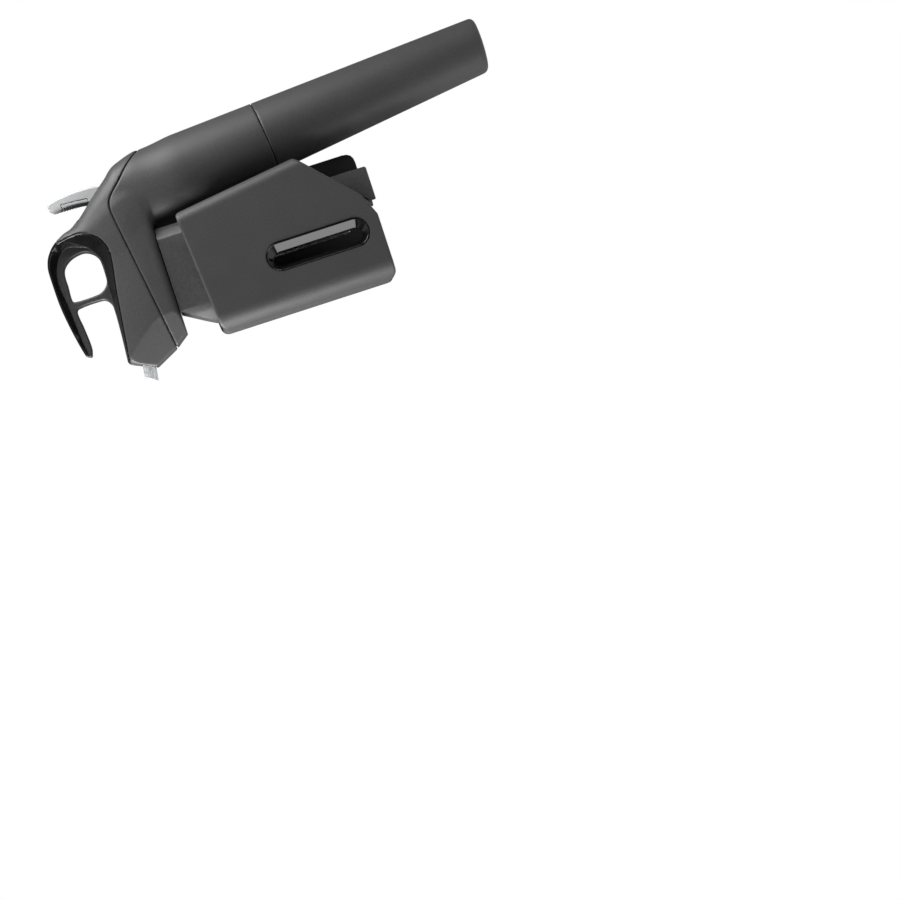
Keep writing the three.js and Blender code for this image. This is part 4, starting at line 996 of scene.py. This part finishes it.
def shape_frame(made):
    """Rounds the frame's large corners and closes its gap below the head."""
    round_sleeve(made)
    for vertex in made.verts:
        if vertex.co.z > (HEAD_FLOOR - SLEEVE_TOP_ZONE) * MM:
            vertex.co.z += SLEEVE_RISE * MM
    foot = [edge for edge in made.edges
            if edge.calc_face_angle(0) > FOOT_LEAST_ANGLE and frame_foot_corner(edge)]
    bmesh.ops.bevel(made, geom=foot, offset=FRAME_FOOT_ROUND * MM, segments=FOOT_STEPS, profile=0.5,
                    affect="EDGES", clamp_overlap=True)


def smoothed_copy(node, material, body, slot):
    source = frame["nodes"][node]
    made = bmesh.new()
    made.from_mesh(source.data)
    bmesh.ops.remove_doubles(made, verts=made.verts, dist=WELD_DISTANCE * MM)
    bmesh.ops.dissolve_limit(made, angle_limit=FLAT_ANGLE, verts=made.verts, edges=made.edges)
    if node == "clamp_frame":
        shape_frame(made)
    mesh = bpy.data.meshes.new(node + "_skin")
    made.to_mesh(mesh)
    made.free()
    mesh.materials.clear()
    mesh.materials.append(material)
    piece = bpy.data.objects.new(node + "_skin", mesh)
    bpy.context.collection.objects.link(piece)
    bevel = piece.modifiers.new("edges", "BEVEL")
    bevel.width = EDGE_ROUNDS.get(node, SMALL_ROUND) * MM
    bevel.segments = EDGE_STEPS
    bevel.limit_method = "ANGLE"
    bevel.angle_limit = SHARP_ANGLE
    dress(baked(piece), body, slot, node)


def make_others():
    slots = {row["node"]: row["material_slot"] for row in frame["record"]["subparts"]}
    for body, nodes in frame["record"]["behaviour"]["bodies"].items():
        for node in nodes:
            if bpy.data.objects.get(node + "_skin") is None:
                smoothed_copy(node, SLOT_MATERIALS[slots[node]], body, slots[node])


def squeeze_spring():
    """Gives the valve's spring, between its pocket and the stem's collar, a mesh of its own."""
    spring = bpy.data.objects["valve_spring_skin"]
    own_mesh(spring)


# Camera: the photograph's, from its scale, roll and tilt and the origin's place in it
IMAGE = 900
FOCAL_PIXELS = 3000
SENSOR_MM = 36
PIXELS_PER_MM = 2.15
ORIGIN_PIXEL = (227.2, 270.8)
ROLL = math.radians(18.17)
TILT = math.asin(0.065)
FARTHEST = 20


def make_camera():
    needle_down = np.array([math.cos(ROLL) * math.cos(TILT), -math.sin(ROLL) * math.cos(TILT),
                            math.sin(TILT)])
    to_handle = np.array([-math.sin(ROLL), -math.cos(ROLL), 0])
    turn = np.stack([to_handle, np.cross(-needle_down, to_handle), -needle_down], 1)
    distance = FOCAL_PIXELS / PIXELS_PER_MM
    across, down = ((pixel - IMAGE / 2) / PIXELS_PER_MM for pixel in ORIGIN_PIXEL)
    place = turn.T @ -np.array([across, down, distance])
    camera = bpy.data.cameras.new("camera")
    camera.lens = FOCAL_PIXELS / IMAGE * SENSOR_MM
    camera.sensor_width = SENSOR_MM
    camera.clip_end = FARTHEST
    seen = bpy.data.objects.new("camera", camera)
    axes = Matrix([turn[0], -turn[1], -turn[2]]).transposed()
    seen.matrix_world = Matrix.Translation(place * MM) @ axes.to_4x4()
    bpy.context.collection.objects.link(seen)
    bpy.context.scene.camera = seen


# Lamps, in metres and watts, and surroundings
LAMP_TARGET = np.array([0.02, 0, -0.02])
UPRIGHT_LIMIT = 0.9
SOFTBOXES = {
    "box_handle_side": ((0.36, -0.14, 0.19), 3.1, 0.36),
    "box_spout_side": ((-0.42, -0.01, 0.22), 5.2, 0.36),
    "card_spout_side": ((-0.5, -0.2, -0.06), 0.85, 0.26),
    "box_top": ((0.0, -0.25, 0.6), 0.3, 0.5),
}
WORLD_DIFFUSE = 0.1
WORLD_GLOSSY = 0.08
FLOOR_REACH = 3.0
FLOOR_DROP = 0.2


def add_softbox(name, place, power, size):
    """A round softbox that faces the part."""
    lamp = bpy.data.lights.new(name, "AREA")
    lamp.shape = "DISK"
    lamp.size = size
    lamp.energy = power
    softbox = bpy.data.objects.new(name, lamp)
    aim = np.array(place) - LAMP_TARGET
    back = aim / np.linalg.norm(aim)
    side = np.cross([0, 1, 0] if abs(back[1]) < UPRIGHT_LIMIT else [1, 0, 0], back)
    side /= np.linalg.norm(side)
    turn = Matrix([side, np.cross(back, side), back]).transposed()
    softbox.matrix_world = Matrix.Translation(place) @ turn.to_4x4()
    bpy.context.collection.objects.link(softbox)


def make_light():
    """Softboxes, and a world that is white to the camera and dim in reflections and bounced light."""
    for name, (place, power, size) in SOFTBOXES.items():
        add_softbox(name, place, power, size)
    world = bpy.data.worlds.new("studio")
    world.use_nodes = True
    bpy.context.scene.world = world
    tree = world.node_tree
    background = tree.nodes["Background"]
    background.inputs["Color"].default_value = linear("#ffffff")
    rays = add_node(tree, "ShaderNodeLightPath")
    seen = add_node(tree, "ShaderNodeMath", [(0, rays, "Is Camera Ray"), (1, rays, "Is Transmission Ray")],
                    operation="MAXIMUM")
    diffuse = add_node(tree, "ShaderNodeMath", [(0, rays, "Is Diffuse Ray")], operation="MULTIPLY")
    diffuse.inputs[1].default_value = WORLD_DIFFUSE
    level = add_node(tree, "ShaderNodeMath", [(0, seen, "Value"), (1, diffuse, "Value")],
                     operation="MAXIMUM")
    lifted = add_node(tree, "ShaderNodeMath", [(0, level, "Value")], operation="MAXIMUM")
    lifted.inputs[1].default_value = WORLD_GLOSSY
    tree.links.new(lifted.outputs["Value"], background.inputs["Strength"])


# Pale paper below the part; the camera sees it as white as the surroundings.
def pale_paper():
    material, tree, shader = new_material("pale_paper_floor", "#c6c6c6", 0.9)
    add_mottle(tree, shader, 3, "#c3c3c3", "#c9c9c9")
    rays = add_node(tree, "ShaderNodeLightPath")
    white = add_node(tree, "ShaderNodeEmission")
    white.inputs["Color"].default_value = linear("#ffffff")
    seen = add_node(tree, "ShaderNodeMixShader", [(0, rays, "Is Camera Ray"), (1, shader, "BSDF"),
                                                  (2, white, "Emission")])
    tree.links.new(seen.outputs["Shader"], tree.nodes["Material Output"].inputs["Surface"])
    return material


def make_floor():
    level = CAD_BOX[0][2] - FLOOR_DROP
    corners = [(along * FLOOR_REACH, across * FLOOR_REACH, level)
               for along, across in ((-1, -1), (1, -1), (1, 1), (-1, 1))]
    new_object("floor", np.array(corners) / MM, [(0, 1, 2, 3)], [pale_paper()])


make_camera()
make_head()
make_jaws()
make_trigger_and_cup()
make_others()
squeeze_spring()
make_light()
make_floor()
bpy.context.scene.view_settings.view_transform = "Standard"
